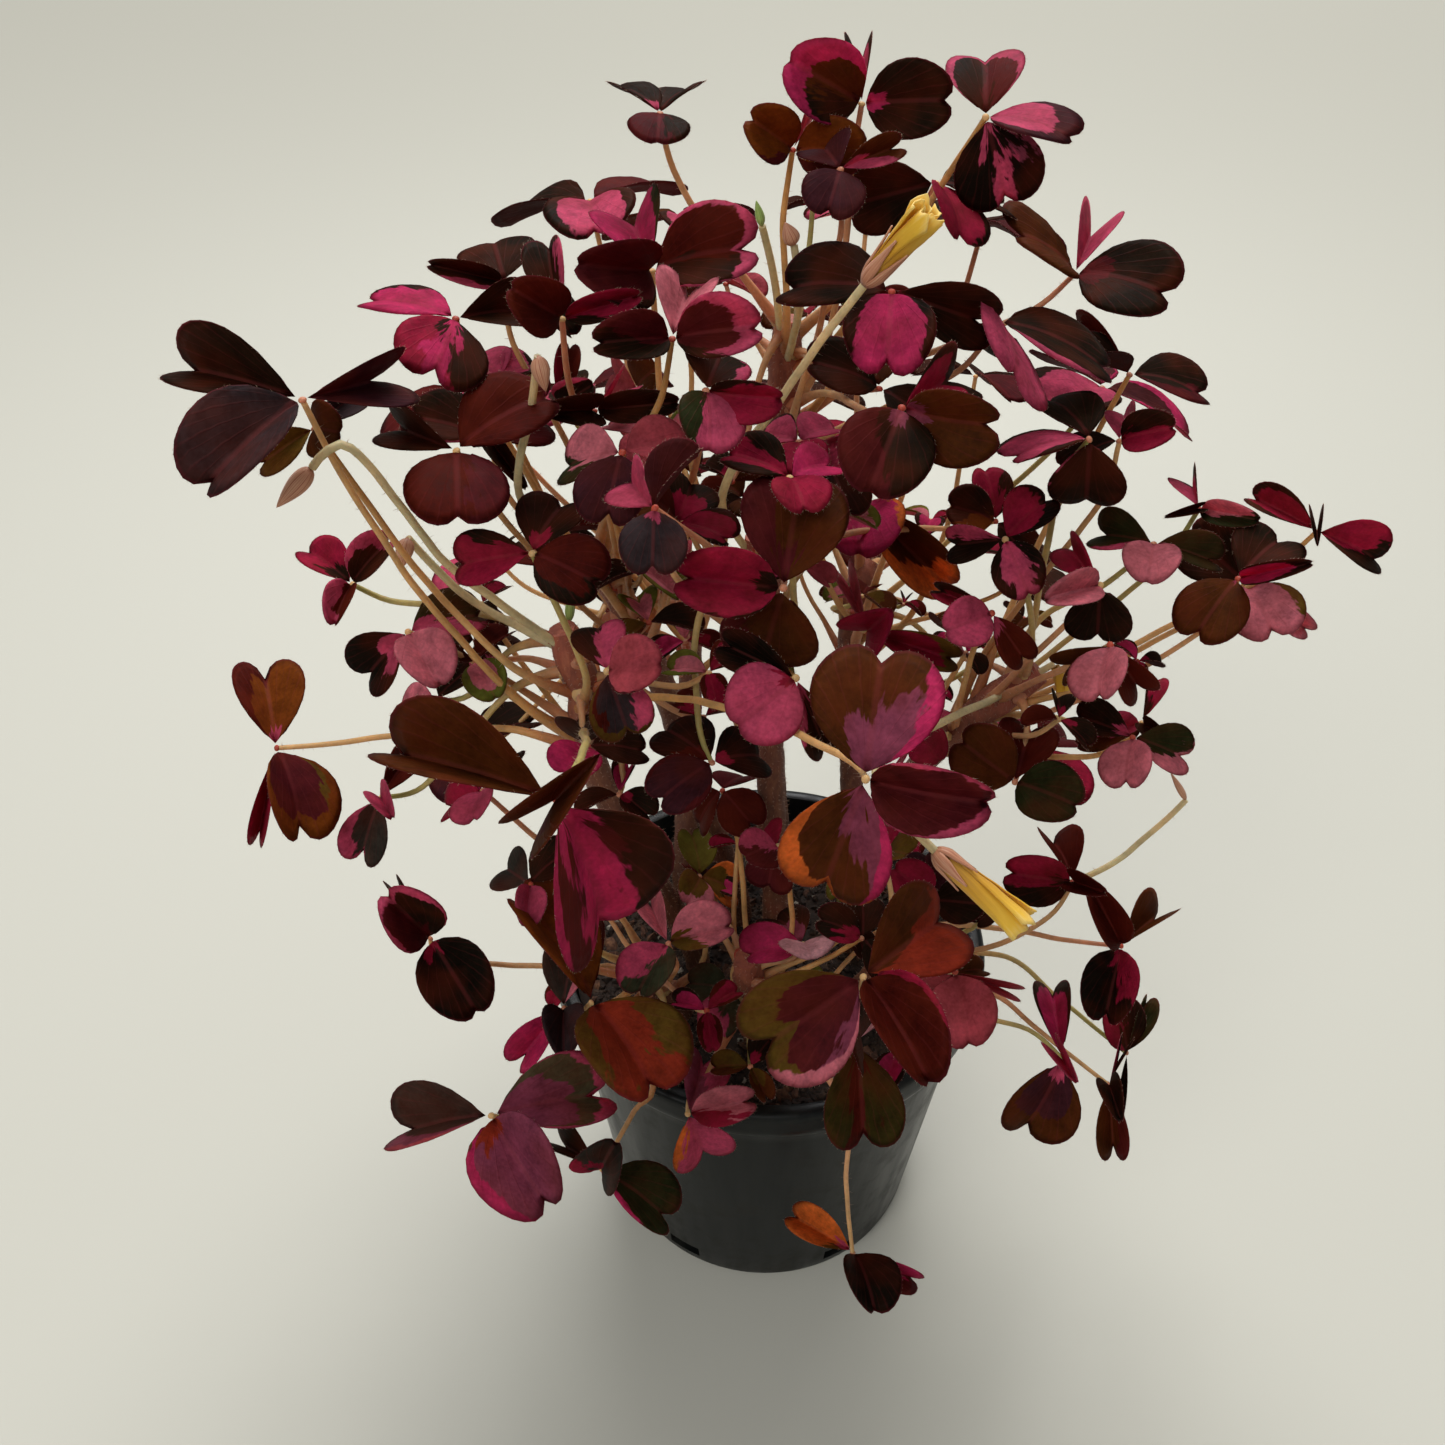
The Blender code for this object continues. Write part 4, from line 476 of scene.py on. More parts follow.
def roughLeaf(pose, margin):
    # One closed mesh of three folded leaflets and the petiole down to its stem, a margin larger all round
    hub, length = pose["hub"], pose["length"]
    normal, first, second, axes, angles = pose["frame"]
    thick = plantSizes["bladeThickness"] + 2.0 * margin
    faces = [(0, 1, 2)]
    corners = []
    ringRadius = plantSizes["hubRadius"] + margin
    for k in range(3):
        following = angles[(k + 1) % 3] + (math.tau if k == 2 else 0.0)
        middle = 0.5 * (angles[k] + following)
        corners.append(hub + (first * math.cos(middle) + second * math.sin(middle)) * ringRadius)
    verts = [corner + normal * margin for corner in corners]
    verts += [corner + normal * (margin - thick) for corner in corners]
    for k in range(3):
        axis = axes[k]
        up, side = leafletSides(pose, k)
        fold = pose["folds"][k]
        reach = length + margin

        def place(along, across):
            rise = bladeOutline["bulge"] * length * 4.0 * along * (1.0 - along)
            width = across * length + math.copysign(margin, across) if across else 0.0
            out = side * (width * math.cos(fold)) + up * (abs(width) * math.sin(fold))
            return hub + axis * (along * reach) + up * rise + out

        rightCorner = (k + 2) % 3
        stations = [bladeOutline["shoulder"], bladeOutline["broadest"], bladeOutline["lobe"]]
        if length < bladeOutline["plainBelow"]:
            stations = stations[1:]
        outline = [place(along, -across) for along, across in stations]
        outline.append(place(bladeOutline["notchAt"], 0.0))
        outline += [place(along, across) for along, across in reversed(stations)]
        outline.append(place(bladeOutline["bendAt"], 0.0))
        count = len(outline)
        start = len(verts)
        verts += [point + up * margin for point in outline]
        verts += [point + up * (margin - thick) for point in outline]
        top = [rightCorner] + list(range(start, start + count - 1)) + [k]
        low = [rightCorner + 3] + list(range(start + count, start + 2 * count - 1)) + [k + 3]
        bend = start + count - 1
        for i in range(count):
            faces += [(top[i], top[i + 1], bend), (low[i + 1], low[i], bend + count)]
            faces += [(top[i + 1], top[i], low[i]), (top[i + 1], low[i], low[i + 1])]
        faces += [(top[count], top[0], bend), (low[0], low[count], bend + count)]
    ring = [3, 4, 5]
    path = pose["path"]
    oldWay = -normal
    oldArms = [corner - hub for corner in corners]
    for step in range(1, len(path)):
        way = (path[min(step + 1, len(path) - 1)] - path[step - 1]).normalized()
        turn = oldWay.rotation_difference(way)
        arms = [turn @ arm for arm in oldArms]
        arms = [(arm - way * arm.dot(way)).normalized() for arm in arms]
        fresh = list(range(len(verts), len(verts) + 3))
        verts += [path[step] + arm * (plantSizes["petioleRadius"] + margin) for arm in arms]
        for i in range(3):
            j = (i + 1) % 3
            faces += [(ring[i], fresh[i], fresh[j]), (ring[i], fresh[j], ring[j])]
        ring, oldWay, oldArms = fresh, way, arms
    faces.append((ring[2], ring[1], ring[0]))
    return verts, faces


# How far a petiole keeps to the hub's and the stem's direction at its ends, in millimetres and as
# shares of the gap, and how a low outer leaf's petiole clears the rim
petioleBend = dict(
    neck=6.0, neckShare=0.22, footShare=0.30, longFrom=24.0, rimRoom=6.0, rimNeck=2.0, rimLift=1.5,
    overRim=1.0, aboveRim=3.0, aboveShare=0.3, footDepth=0.6, footOut=0.7, footLean=0.8)


def petiolePath(hub, normal, root, stemWay, bow):
    # From under the hub to inside the stem: leaves the hub downwards and joins rising
    start = hub - normal * plantSizes["bladeThickness"]
    gap = (root - start).length
    first = start - normal * min(petioleBend["neck"], gap * petioleBend["neckShare"])
    side = (root - start).cross(upwards)
    if side.length > 0.01:
        side.normalize()
    last = root + stemWay * gap * petioleBend["footShare"] + side * bow
    flat = math.hypot(hub.x, hub.y)
    rim, high = potSizes["rimRadius"], potSizes["height"]
    if flat > rim and min(start.z, last.z) < high + petioleBend["rimRoom"]:
        over = Vector((hub.x, hub.y, 0.0)) / flat * (rim + petioleBend["overRim"])
        over.z = high + petioleBend["aboveRim"] + max(0.0, start.z - high) * petioleBend["aboveShare"]
        first = start - normal * petioleBend["rimNeck"]
        middle = (first + over) * 0.5 + upwards * petioleBend["rimLift"]
        return smoothPath([start, middle, over, root], 1)
    points = [start]
    count = 4 if gap > petioleBend["longFrom"] else 3
    for i in range(1, count + 1):
        t = i / count
        a = start * (1 - t) ** 3 + first * 3 * t * (1 - t) ** 2
        points.append(a + last * 3 * t * t * (1 - t) + root * t ** 3)
    return points


def stemPath(name):  # points of a stem from the bottom of its hole to its crown
    stem = stems[name]
    foot = Vector((*stem["foot"], soilTop - soilSizes["holeDepth"] + plantSizes["clearance"]))
    level = foot + upwards * (soilSizes["holeDepth"] + plantSizes["straight"])
    return [foot, level] + [photoPoint(pixel, back) for pixel, back in stem["through"]]


def tube(points, radii, sides):  # a closed tube along points, with flat ends
    verts = []
    faces = []
    arm = None
    for i, here in enumerate(points):
        way = (points[min(i + 1, len(points) - 1)] - points[max(i - 1, 0)]).normalized()
        if arm is None:
            arm = way.orthogonal().normalized()
        else:
            arm = (arm - way * arm.dot(way)).normalized()
        other = way.cross(arm)
        for k in range(sides):
            turn = math.tau * k / sides
            verts.append(here + (arm * math.cos(turn) + other * math.sin(turn)) * radii[i])
        if i:
            base = (i - 1) * sides
            for k in range(sides):
                j = (k + 1) % sides
                faces.append((base + k, base + j, base + sides + j, base + sides + k))
    faces.append(tuple(reversed(range(sides))))
    last = (len(points) - 1) * sides
    faces.append(tuple(range(last, last + sides)))
    return verts, faces


def smoothPath(points, between):  # Catmull-Rom points through the given ones
    out = [points[0]]
    for i in range(len(points) - 1):
        p0, p1, p2 = points[max(i - 1, 0)], points[i], points[i + 1]
        p3 = points[min(i + 2, len(points) - 1)]
        for k in range(1, between + 1):
            t = k / between
            bent = p1 * 2 + (p2 - p0) * t + (p0 * 2 - p1 * 5 + p2 * 4 - p3) * t * t
            bent = bent + (p1 * 3 - p0 - p2 * 3 + p3) * t ** 3
            out.append(bent * 0.5)
    return out


def lathe(profile, sides):
    # A closed solid turned about z from a profile that starts and ends on the axis
    verts = [Vector((0.0, 0.0, profile[0][1]))]
    faces = []
    rows = []
    for radius, height in profile[1:-1]:
        row = []
        for k in range(sides):
            turn = math.tau * k / sides
            row.append(len(verts))
            verts.append(Vector((radius * math.cos(turn), radius * math.sin(turn), height)))
        rows.append(row)
    end = len(verts)
    verts.append(Vector((0.0, 0.0, profile[-1][1])))
    for k in range(sides):
        j = (k + 1) % sides
        faces.append((0, rows[0][j], rows[0][k]))
        for low, high in zip(rows, rows[1:]):
            faces.append((low[k], low[j], high[j], high[k]))
        faces.append((end, rows[-1][k], rows[-1][j]))
    return verts, faces


def bvh(verts, faces):
    return BVHTree.FromPolygons([tuple(v) for v in verts], faces, all_triangles=False)


def boxOf(verts):
    low = [min(v[i] for v in verts) for i in range(3)]
    high = [max(v[i] for v in verts) for i in range(3)]
    return low, high


def apart(a, b):
    return any(a[0][i] > b[1][i] or b[0][i] > a[1][i] for i in range(3))


class Placed:  # a body already placed, with its box and tree for clearance tests
    def __init__(self, node, verts, faces):
        self.node = node
        self.box = boxOf(verts)
        self.tree = bvh(verts, faces)


def crossings(node, verts, faces, placed):
    # How many bodies of other nodes, and of its own, a body crosses
    box = boxOf(verts)
    near = [body for body in placed if not apart(box, body.box)]
    tree = bvh(verts, faces) if near else None
    crossed = [body.node for body in near if tree.overlap(body.tree)]
    own = crossed.count(node)
    return len(crossed) - own, own


def stemRadii(path):  # even up to the crown, which swells and rounds off
    crown = [plantSizes["crownRadius"] * swell for swell in plantSizes["crownSwell"]]
    return [plantSizes["stemRadius"]] * (len(path) - 3) + crown


def planPlant():
    # Places every leaf, moved along the line of sight until it crosses nothing placed before it
    rng = random.Random(plantSizes["seed"])
    level = soilTop + soilSizes["lump"] + plantSizes["clearance"]
    outer = potSizes["rimRadius"] + plantSizes["clearance"]
    inner = potSizes["topRadius"] - potSizes["wall"]
    top = potSizes["height"] + plantSizes["clearance"]
    ring = [
        (0.0, -4.0), (potSizes["baseRadius"] + 1.0, -4.0), (outer, top - potSizes["lipHeight"] - 1.3),
        (outer, top), (inner - plantSizes["clearance"], top), (inner - 1.0, level), (0.0, level)]
    placed = [Placed("pot", *lathe(ring, 24))]
    paths = {}
    for name in stems:
        foot, *above = stemPath(name)
        paths[name] = path = [foot] + smoothPath(above, 2)
        fat = [radius + plantSizes["clearance"] for radius in stemRadii(path)]
        placed.append(Placed(name, *tube(path, fat, plantSizes["stemSides"])))
    for stalk in [*blooms.values(), *flowerStalks]:
        addStalk(stalk, paths, placed)
    leafPlans = [dict(leaf, stem=name) for name, group in leaves.items() for leaf in group]
    leafPlans += farLeaves(rng)
    for order, leaf in enumerate(leafPlans):
        leaf["order"] = order
        placeLeaf(leaf, paths, placed, rng)
    for leaf in youngLeaves(paths, random.Random(youngLeafSizes["seed"])):
        leaf["order"] = len(leafPlans)
        placeLeaf(leaf, paths, placed, rng)
        if not leaf["crossed"]:
            leafPlans.append(leaf)
    for stalk in tenderTips + [witheredBloom]:
        addStalk(stalk, paths, placed)
    return paths, leafPlans


def stalkPoints(stalk, paths):  # from inside the crown, through the photograph's pixels
    seen = [photoPoint(pixel, back) for pixel, back in stalk["path"]]
    return smoothPath([paths[stalk["stem"]][-2]] + seen, 2)


def addStalk(stalk, paths, placed):  # room for a flower stalk with its calyx or bud
    points = stalk["line"] = stalkPoints(stalk, paths)
    parts = [(points, [bloomSizes["rootRadius"]] + [bloomSizes["stalkRadius"]] * (len(points) - 1))]
    end = points[-1]
    if "tip" in stalk:
        way = (photoPoint(stalk["tip"], stalk["tipBack"]) - end).normalized()
        stalk["base"], stalk["way"] = end, way
        cup = [end + way * station for station in bloomSizes["calyxStations"]]
        parts.append((cup, bloomSizes["calyxRadii"]))
    else:
        tip = photoPoint(stalk["bud"], stalk["budBack"])
        way = (tip - end).normalized()
        budLength = min((tip - end).length, bloomSizes["budLength"])
        top = end + way * budLength
        between = [end + way * budLength * station for station in bloomSizes["budStations"]]
        bud = [end - way * bloomSizes["budBottom"], *between, top]
        stalk["budEnds"] = (end, top)
        parts.append((bud, bloomSizes["budRadii"]))
    for line, radii in parts:
        wide = [radius + plantSizes["clearance"] for radius in radii]
        placed.append(Placed(stalk["stem"], *tube(line, wide, plantSizes["stalkSides"])))
    if "tip" in stalk:
        full = [end, end + way * bloomSizes["length"]]
        mouth = bloomSizes["tipRadius"] + plantSizes["clearance"] + 0.3
        placed.append(Placed("bloom", *tube(full, [bloomSizes["footRadius"], mouth], bloomSizes["sides"])))


def youngLeaves(paths, rng):
    # Small new leaves round each crown and up the stems, where the photograph is too dense to read
    out = []
    for name, path in paths.items():
        for i in range(youngLeafSizes["each"]):
            low = rng.uniform(youngLeafSizes["lowest"], 1.0)
            spot = path[min(int(low * len(path)), len(path) - 1)]
            turn = i * youngLeafSizes["between"]
            turn += rng.uniform(-youngLeafSizes["sway"], youngLeafSizes["sway"])
            rise = rng.uniform(*youngLeafSizes["rises"])
            way = Vector((math.cos(turn), math.sin(turn), rise)).normalized()
            reach = rng.uniform(*youngLeafSizes["reaches"])
            length = rng.uniform(*youngLeafSizes["lengths"])
            folds = [rng.uniform(*youngLeafSizes["folds"]) for k in range(3)]
            out.append(dict(
                stem=name, at=spot + way * reach, length=length, spin=rng.uniform(0.0, math.tau),
                folds=folds, tones=[rng.choice(youngTones) for k in range(3)]))
    return out


def farLeaves(rng):
    # Leaves on the side away from the photograph, by a golden-angle spread over the plant's dome
    out = []
    for name in ("back_left", "back_right"):
        for i in range(backLeaves["each"]):
            share = (i + 0.5) / backLeaves["each"]
            turn = backLeaves["firstTurn"] + backLeaves["turns"] * ((i * golden) % 1.0)
            turn = math.radians(turn) * backLeaves["squeeze"]
            if name == "back_left":
                turn = math.pi - turn
            height = backLeaves["lowest"] + backLeaves["height"] * share
            share = height / backLeaves["domeHeight"]
            flat = math.sqrt(max(0.0, 1.0 - share ** 2)) * backLeaves["radius"]
            flat *= rng.uniform(*backLeaves["reaches"])
            hub = backLeaves["centre"] + Vector((math.cos(turn) * flat, math.sin(turn) * flat, height))
            length = backLeaves["leaflet"] * rng.uniform(*backLeaves["grades"])
            out.append(dict(stem=name, at=hub, length=length, spin=rng.uniform(0.0, math.tau)))
    return out


def leafPose(leaf, shift, bow, paths):
    # Where a leaf is when it is moved along the line of sight, and its petiole's path
    if "at" in leaf:
        hub = leaf["at"] + upwards * shift
        length = leaf["length"]
        facing = naturalNormal(hub, 0.0)
        flat = aroundWay(facing)
        spokes = [flat(leaf["spin"] + math.tau * k / 3) for k in range(3)]
        axes = [(spoke - facing * stance["droop"]).normalized() for spoke in spokes]
    else:
        hub = photoPoint(leaf["hub"], leaf["back"] + shift)
        depth = (hub - photo["eye"]).dot(photoRay((photo["side"] / 2, photo["side"] / 2)))
        scale = photo["focal"] / depth
        reach = max(math.dist(leaf["hub"], tip) for tip in leaf["tips"]) / scale
        length = max(reach * stance["widen"] * leaf.get("long", 1.0), plantSizes["shortest"])
        length = min(length, plantSizes["longest"])
        facing = naturalNormal(hub, leaf.get("lean", plantSizes["eyeLean"]))
        axes = leafAxes(hub, leaf["tips"], length, facing)
    around = leafFrame(axes, facing)
    path = paths[leaf["stem"]]
    reach = min(plantSizes["crownReach"], (path[-1] - path[2]).length)
    down = (leaf["order"] * golden) % 1.0 * reach
    step = len(path) - 1
    while (path[step] - path[step - 1]).length < down and step > 3:
        down -= (path[step] - path[step - 1]).length
        step -= 1
    way = (path[step] - path[step - 1]).normalized()
    root = path[step] - way * (down + petioleBend["footDepth"])
    toward = hub - root
    toward = (toward - way * toward.dot(way)).normalized()
    root = root + toward * petioleBend["footOut"]
    rootWay = (way + toward * petioleBend["footLean"]).normalized()
    pose = dict(hub=hub, length=length, frame=around, facing=facing)
    pose["roll"] = 0.0 if "at" in leaf else plantSizes["roll"]
    pose["order"] = [next(i for i, way in enumerate(axes) if way is axis) for axis in around[3]]
    pose["turns"] = [leaf.get("turns", (None,) * 3)[i] for i in pose["order"]]
    pose["folds"] = [leaf["fold"]] * 3
    if "folds" in leaf:
        pose["folds"] = [math.radians(leaf["folds"][i]) for i in pose["order"]]
    pose["path"] = petiolePath(hub, around[0], root, rootWay, bow)
    return pose


# How a leaf is moved along the line of sight, and its petiole bent, in millimetres, and what it costs
placing = dict(
    folds=(16.0, 30.0), tries=13, step=1.6, bows=(0.0, 4.0, -4.0, 8.0, -8.0), otherCost=100,
    ownCost=4, bowCost=0.3, goodEnough=3.0)


def placeLeaf(leaf, paths, placed, rng):
    # Tries small moves and bends, nearest first, until one that crosses nothing is found
    leaf["fold"] = math.radians(rng.uniform(*placing["folds"]))
    margin = plantSizes["clearance"] * 0.5
    best = None
    for step in range(placing["tries"]):
        shift = (step + 1) // 2 * placing["step"] * (-1 if step % 2 else 1)
        for bow in placing["bows"]:
            pose = leafPose(leaf, shift, bow, paths)
            others, own = crossings(leaf["stem"], *roughLeaf(pose, margin), placed)
            cost = others * placing["otherCost"] + max(0, own - 1) * placing["ownCost"]
            cost += abs(shift) + abs(bow) * placing["bowCost"]
            if best is None or cost < best[0]:
                best = (cost, others, pose)
        if best[0] < abs(shift) + placing["goodEnough"]:
            break
    leaf["crossed"], leaf["pose"] = best[1:]
    placed.append(Placed(leaf["stem"], *roughLeaf(leaf["pose"], margin)))


def linear(hexText):  # an sRGB hex colour as the linear numbers that a shader takes
    channels = [int(hexText[i:i + 2], 16) / 255.0 for i in (1, 3, 5)]
    channels = [c / 12.92 if c <= 0.04045 else ((c + 0.055) / 1.055) ** 2.4 for c in channels]
    return (*channels, 1.0)


def addNode(tree, kind, *given, **settings):
    # A node with its settings, and its inputs in their order, or by name where they are a dictionary.
    # A kind in capitals is an operation of the maths node, and the nodes of a list share one input
    if kind.isupper():
        kind, settings = "Math", dict(operation=kind)
    families = ("ShaderNode", "GeometryNode", "FunctionNode", "")
    family = next(family for family in families if hasattr(bpy.types, family + kind))
    node = tree.nodes.new(family + kind)
    for name, value in settings.items():
        setattr(node, name, value)
    if given and isinstance(given[0], dict):
        pairs = [(node.inputs[name], value) for name, value in given[0].items()]
    else:
        pairs = zip([socket for socket in node.inputs if socket.enabled], given)
    for socket, value in pairs:
        for item in value if isinstance(value, list) else [value]:
            if isinstance(item, bpy.types.Node):
                item = next(output for output in item.outputs if output.enabled)
            if isinstance(item, bpy.types.NodeSocket):
                tree.links.new(item, socket)
            else:
                socket.default_value = item
    return node


def newMaterial(name):  # an empty node material, ready for addNode
    made = bpy.data.materials.new(name)
    made.use_nodes = True
    made.node_tree.nodes.clear()
    return made, partial(addNode, made.node_tree)


def setStops(ramp, stops):  # gives a colour ramp its places and hex colours
    elements = ramp.color_ramp.elements
    while len(elements) < len(stops):
        elements.new(0.5)
    for element, (place, colour) in zip(elements, stops):
        element.position = place
        element.color = linear(colour)
    return ramp


def newTree(name, **sizes):  # a Geometry Nodes tree with a named input for each size
    tree = bpy.data.node_groups.new(name, "GeometryNodeTree")
    for way in ("INPUT", "OUTPUT"):
        tree.interface.new_socket("Geometry", in_out=way, socket_type="NodeSocketGeometry")
    for size, value in sizes.items():
        kind = "NodeSocketInt" if isinstance(value, int) else "NodeSocketFloat"
        tree.interface.new_socket(size, in_out="INPUT", socket_type=kind).default_value = value
    return partial(addNode, tree), addNode(tree, "NodeGroupInput").outputs


def finishTree(add, shape, finish, smooth=True):  # every tree ends in real faces with a material
    if smooth:
        shape = add("SetShadeSmooth", shape)
    dressed = add("SetMaterial", {"Geometry": add("RealizeInstances", shape), "Material": finish})
    return add("NodeGroupOutput", dressed).id_data


def placeObject(name, data):  # a new object in the scene
    made = bpy.data.objects.new(name, data)
    bpy.context.scene.collection.objects.link(made)
    return made


def grow(name, carrier, tree, **sizes):  # the plain mesh that a tree makes from a carrier mesh
    seedling = placeObject(name + "Carrier", carrier)
    modifier = seedling.modifiers.new("grow", "NODES")
    modifier.node_group = tree
    for item in tree.interface.items_tree:
        if item.in_out == "INPUT" and item.name in sizes:
            modifier[item.identifier] = sizes[item.name]
    bpy.context.view_layer.update()
    evaluated = seedling.evaluated_get(bpy.context.evaluated_depsgraph_get())
    mesh = bpy.data.meshes.new_from_object(evaluated)
    bpy.data.objects.remove(seedling)
    return mesh


pieceFaces = {}


def addPiece(name, mesh, slot, *nodes):
    # A finished piece, which rides on the part and stands for its nodes
    piece = placeObject(name, mesh)
    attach(piece, "root")
    if nodes:
        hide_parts(*nodes)
    mesh.calc_loop_triangles()
    pieceFaces[name] = len(mesh.loop_triangles)


def carrierMesh(name, points, edges=(), faces=(), **values):
    # Points in millimetres, with a number, a direction or a colour kept at each
    mesh = bpy.data.meshes.new(name)
    mesh.from_pydata([tuple(point * mm) for point in points], list(edges), list(faces))
    kinds = {1: ("FLOAT", "value"), 3: ("FLOAT_VECTOR", "vector"), 4: ("FLOAT_COLOR", "color")}
    for key, rows in values.items():
        rows = [tuple(row) if hasattr(row, "__len__") else (row,) for row in rows]
        rows = np.array(rows, dtype=np.float32)
        kind, field = kinds[rows.shape[1]]
        mesh.attributes.new(key, kind, "POINT").data.foreach_set(field, rows.ravel())
    return mesh

# Leaf colours as the photograph shows them, from soot through wine and rose to moss and amber
leafTones = dict(
    black="#15110b", dark="#21170e", green="#282c16", grey="#34302a", greygreen="#3a3e2c",
    olivegrey="#4a4430", brown="#4a260e", orangebrown="#6c3610", olive="#5a4418", olivegreen="#5e6426",
    olivedark="#342c10", maroon="#4a150e", burgundy="#4e181c", plum="#3c1c22", plumgrey="#342a2c",
    mauve="#803c50", crimson="#921c38", hot="#b22c5a", pink="#b84866", dusty="#c06c78",
    dustyred="#a84852", pale="#d4a0a6", brick="#8a301e", orange="#c4662c")
backTones = [
    "dark", "dark pink:down:0.2", "maroon dark:up:0.1", "burgundy", "crimson dark:left:0.2",
    "brown burgundy:right:0.2", "dark pink:base:0.6", "pink dark:edge:0.8", "plum hot:right:0.4"]

leafLook = dict(
    across=25, along=9, thickness=0.3, openAngle=64.0, widestAngle=66.0, roundness=1.7, shoulder=0.62,
    reach=1.03, notch=0.19, notchAngle=8.0, curl=0.22, wave=0.06, hubGap=0.045)


def imageWay(word, axis, side):
    # The weights of across, along and distance from the midrib that make a patch lie that way
    up = Vector((0.0, math.sin(photo["pitchDown"]), math.cos(photo["pitchDown"])))
    right = Vector((1.0, 0.0, 0.0))
    ways = dict(up=up, down=-up, left=-right, right=right)
    way = sum((ways[name] for name in ways if name in word), Vector((0.0, 0.0, 0.0)))
    across, along = side.dot(way), axis.dot(way)
    size = max(math.hypot(across, along), 0.2)
    return (across / size, along / size, 0.0)


def readTone(text, axis, side):
    # One leaflet's ground colour, and up to three patches with the way each lies and where it starts
    fixedWays = dict(
        tip=(0.0, 1.0, 0.0), base=(0.0, -1.0, 0.0), edge=(0.0, 0.7, 1.0), mid=(0.0, 0.0, -1.0))
    ground, *patches = text.split()
    colours = [linear(leafTones[ground])]
    ways = []
    starts = []
    for patch in patches:
        tone, word, start = patch.split(":")
        colours.append(linear(leafTones[tone]))
        ways.append(fixedWays.get(word) or imageWay(word, axis, side))
        starts.append(-float(start) if word == "mid" else float(start))
    while len(ways) < 3:
        colours.append(colours[0])
        ways.append((0.0, 0.0, 0.0))
        starts.append(9.0)
    return colours, ways, starts


def leafletCarrier(name, plans, rng):
    # One point for each leaflet, with all that shapes and colours it
    points = []
    keys = "axis side up shape ground patchA patchB patchC wayA wayB wayC starts".split()
    values = {key: [] for key in keys}
    for leaf in plans:
        pose = leaf["pose"]
        for k, axis in enumerate(pose["frame"][3]):
            up, side = leafletSides(pose, k)
            text = leaf["tones"][pose["order"][k]] if "tones" in leaf else rng.choice(backTones)
            colours, ways, starts = readTone(text, axis, side)
            shape = (pose["length"] * mm, pose["folds"][k], rng.uniform(0.0, 1.0))
            points.append(pose["hub"])
            for key, value in zip(keys, [axis, side, up, shape, *colours, *ways, starts]):
                values[key].append(value)
    return carrierMesh(name, points, **values)


def streakNoise(add, cell, stretch, detail):
    # Noise drawn out along a leaflet, petal or sepal, by places on it that are kept as attributes
    where = add("CombineXYZ", *[add("MULTIPLY", place, often) for place, often in zip(cell, stretch)])
    return add("TexNoise", where, 1.0, detail)


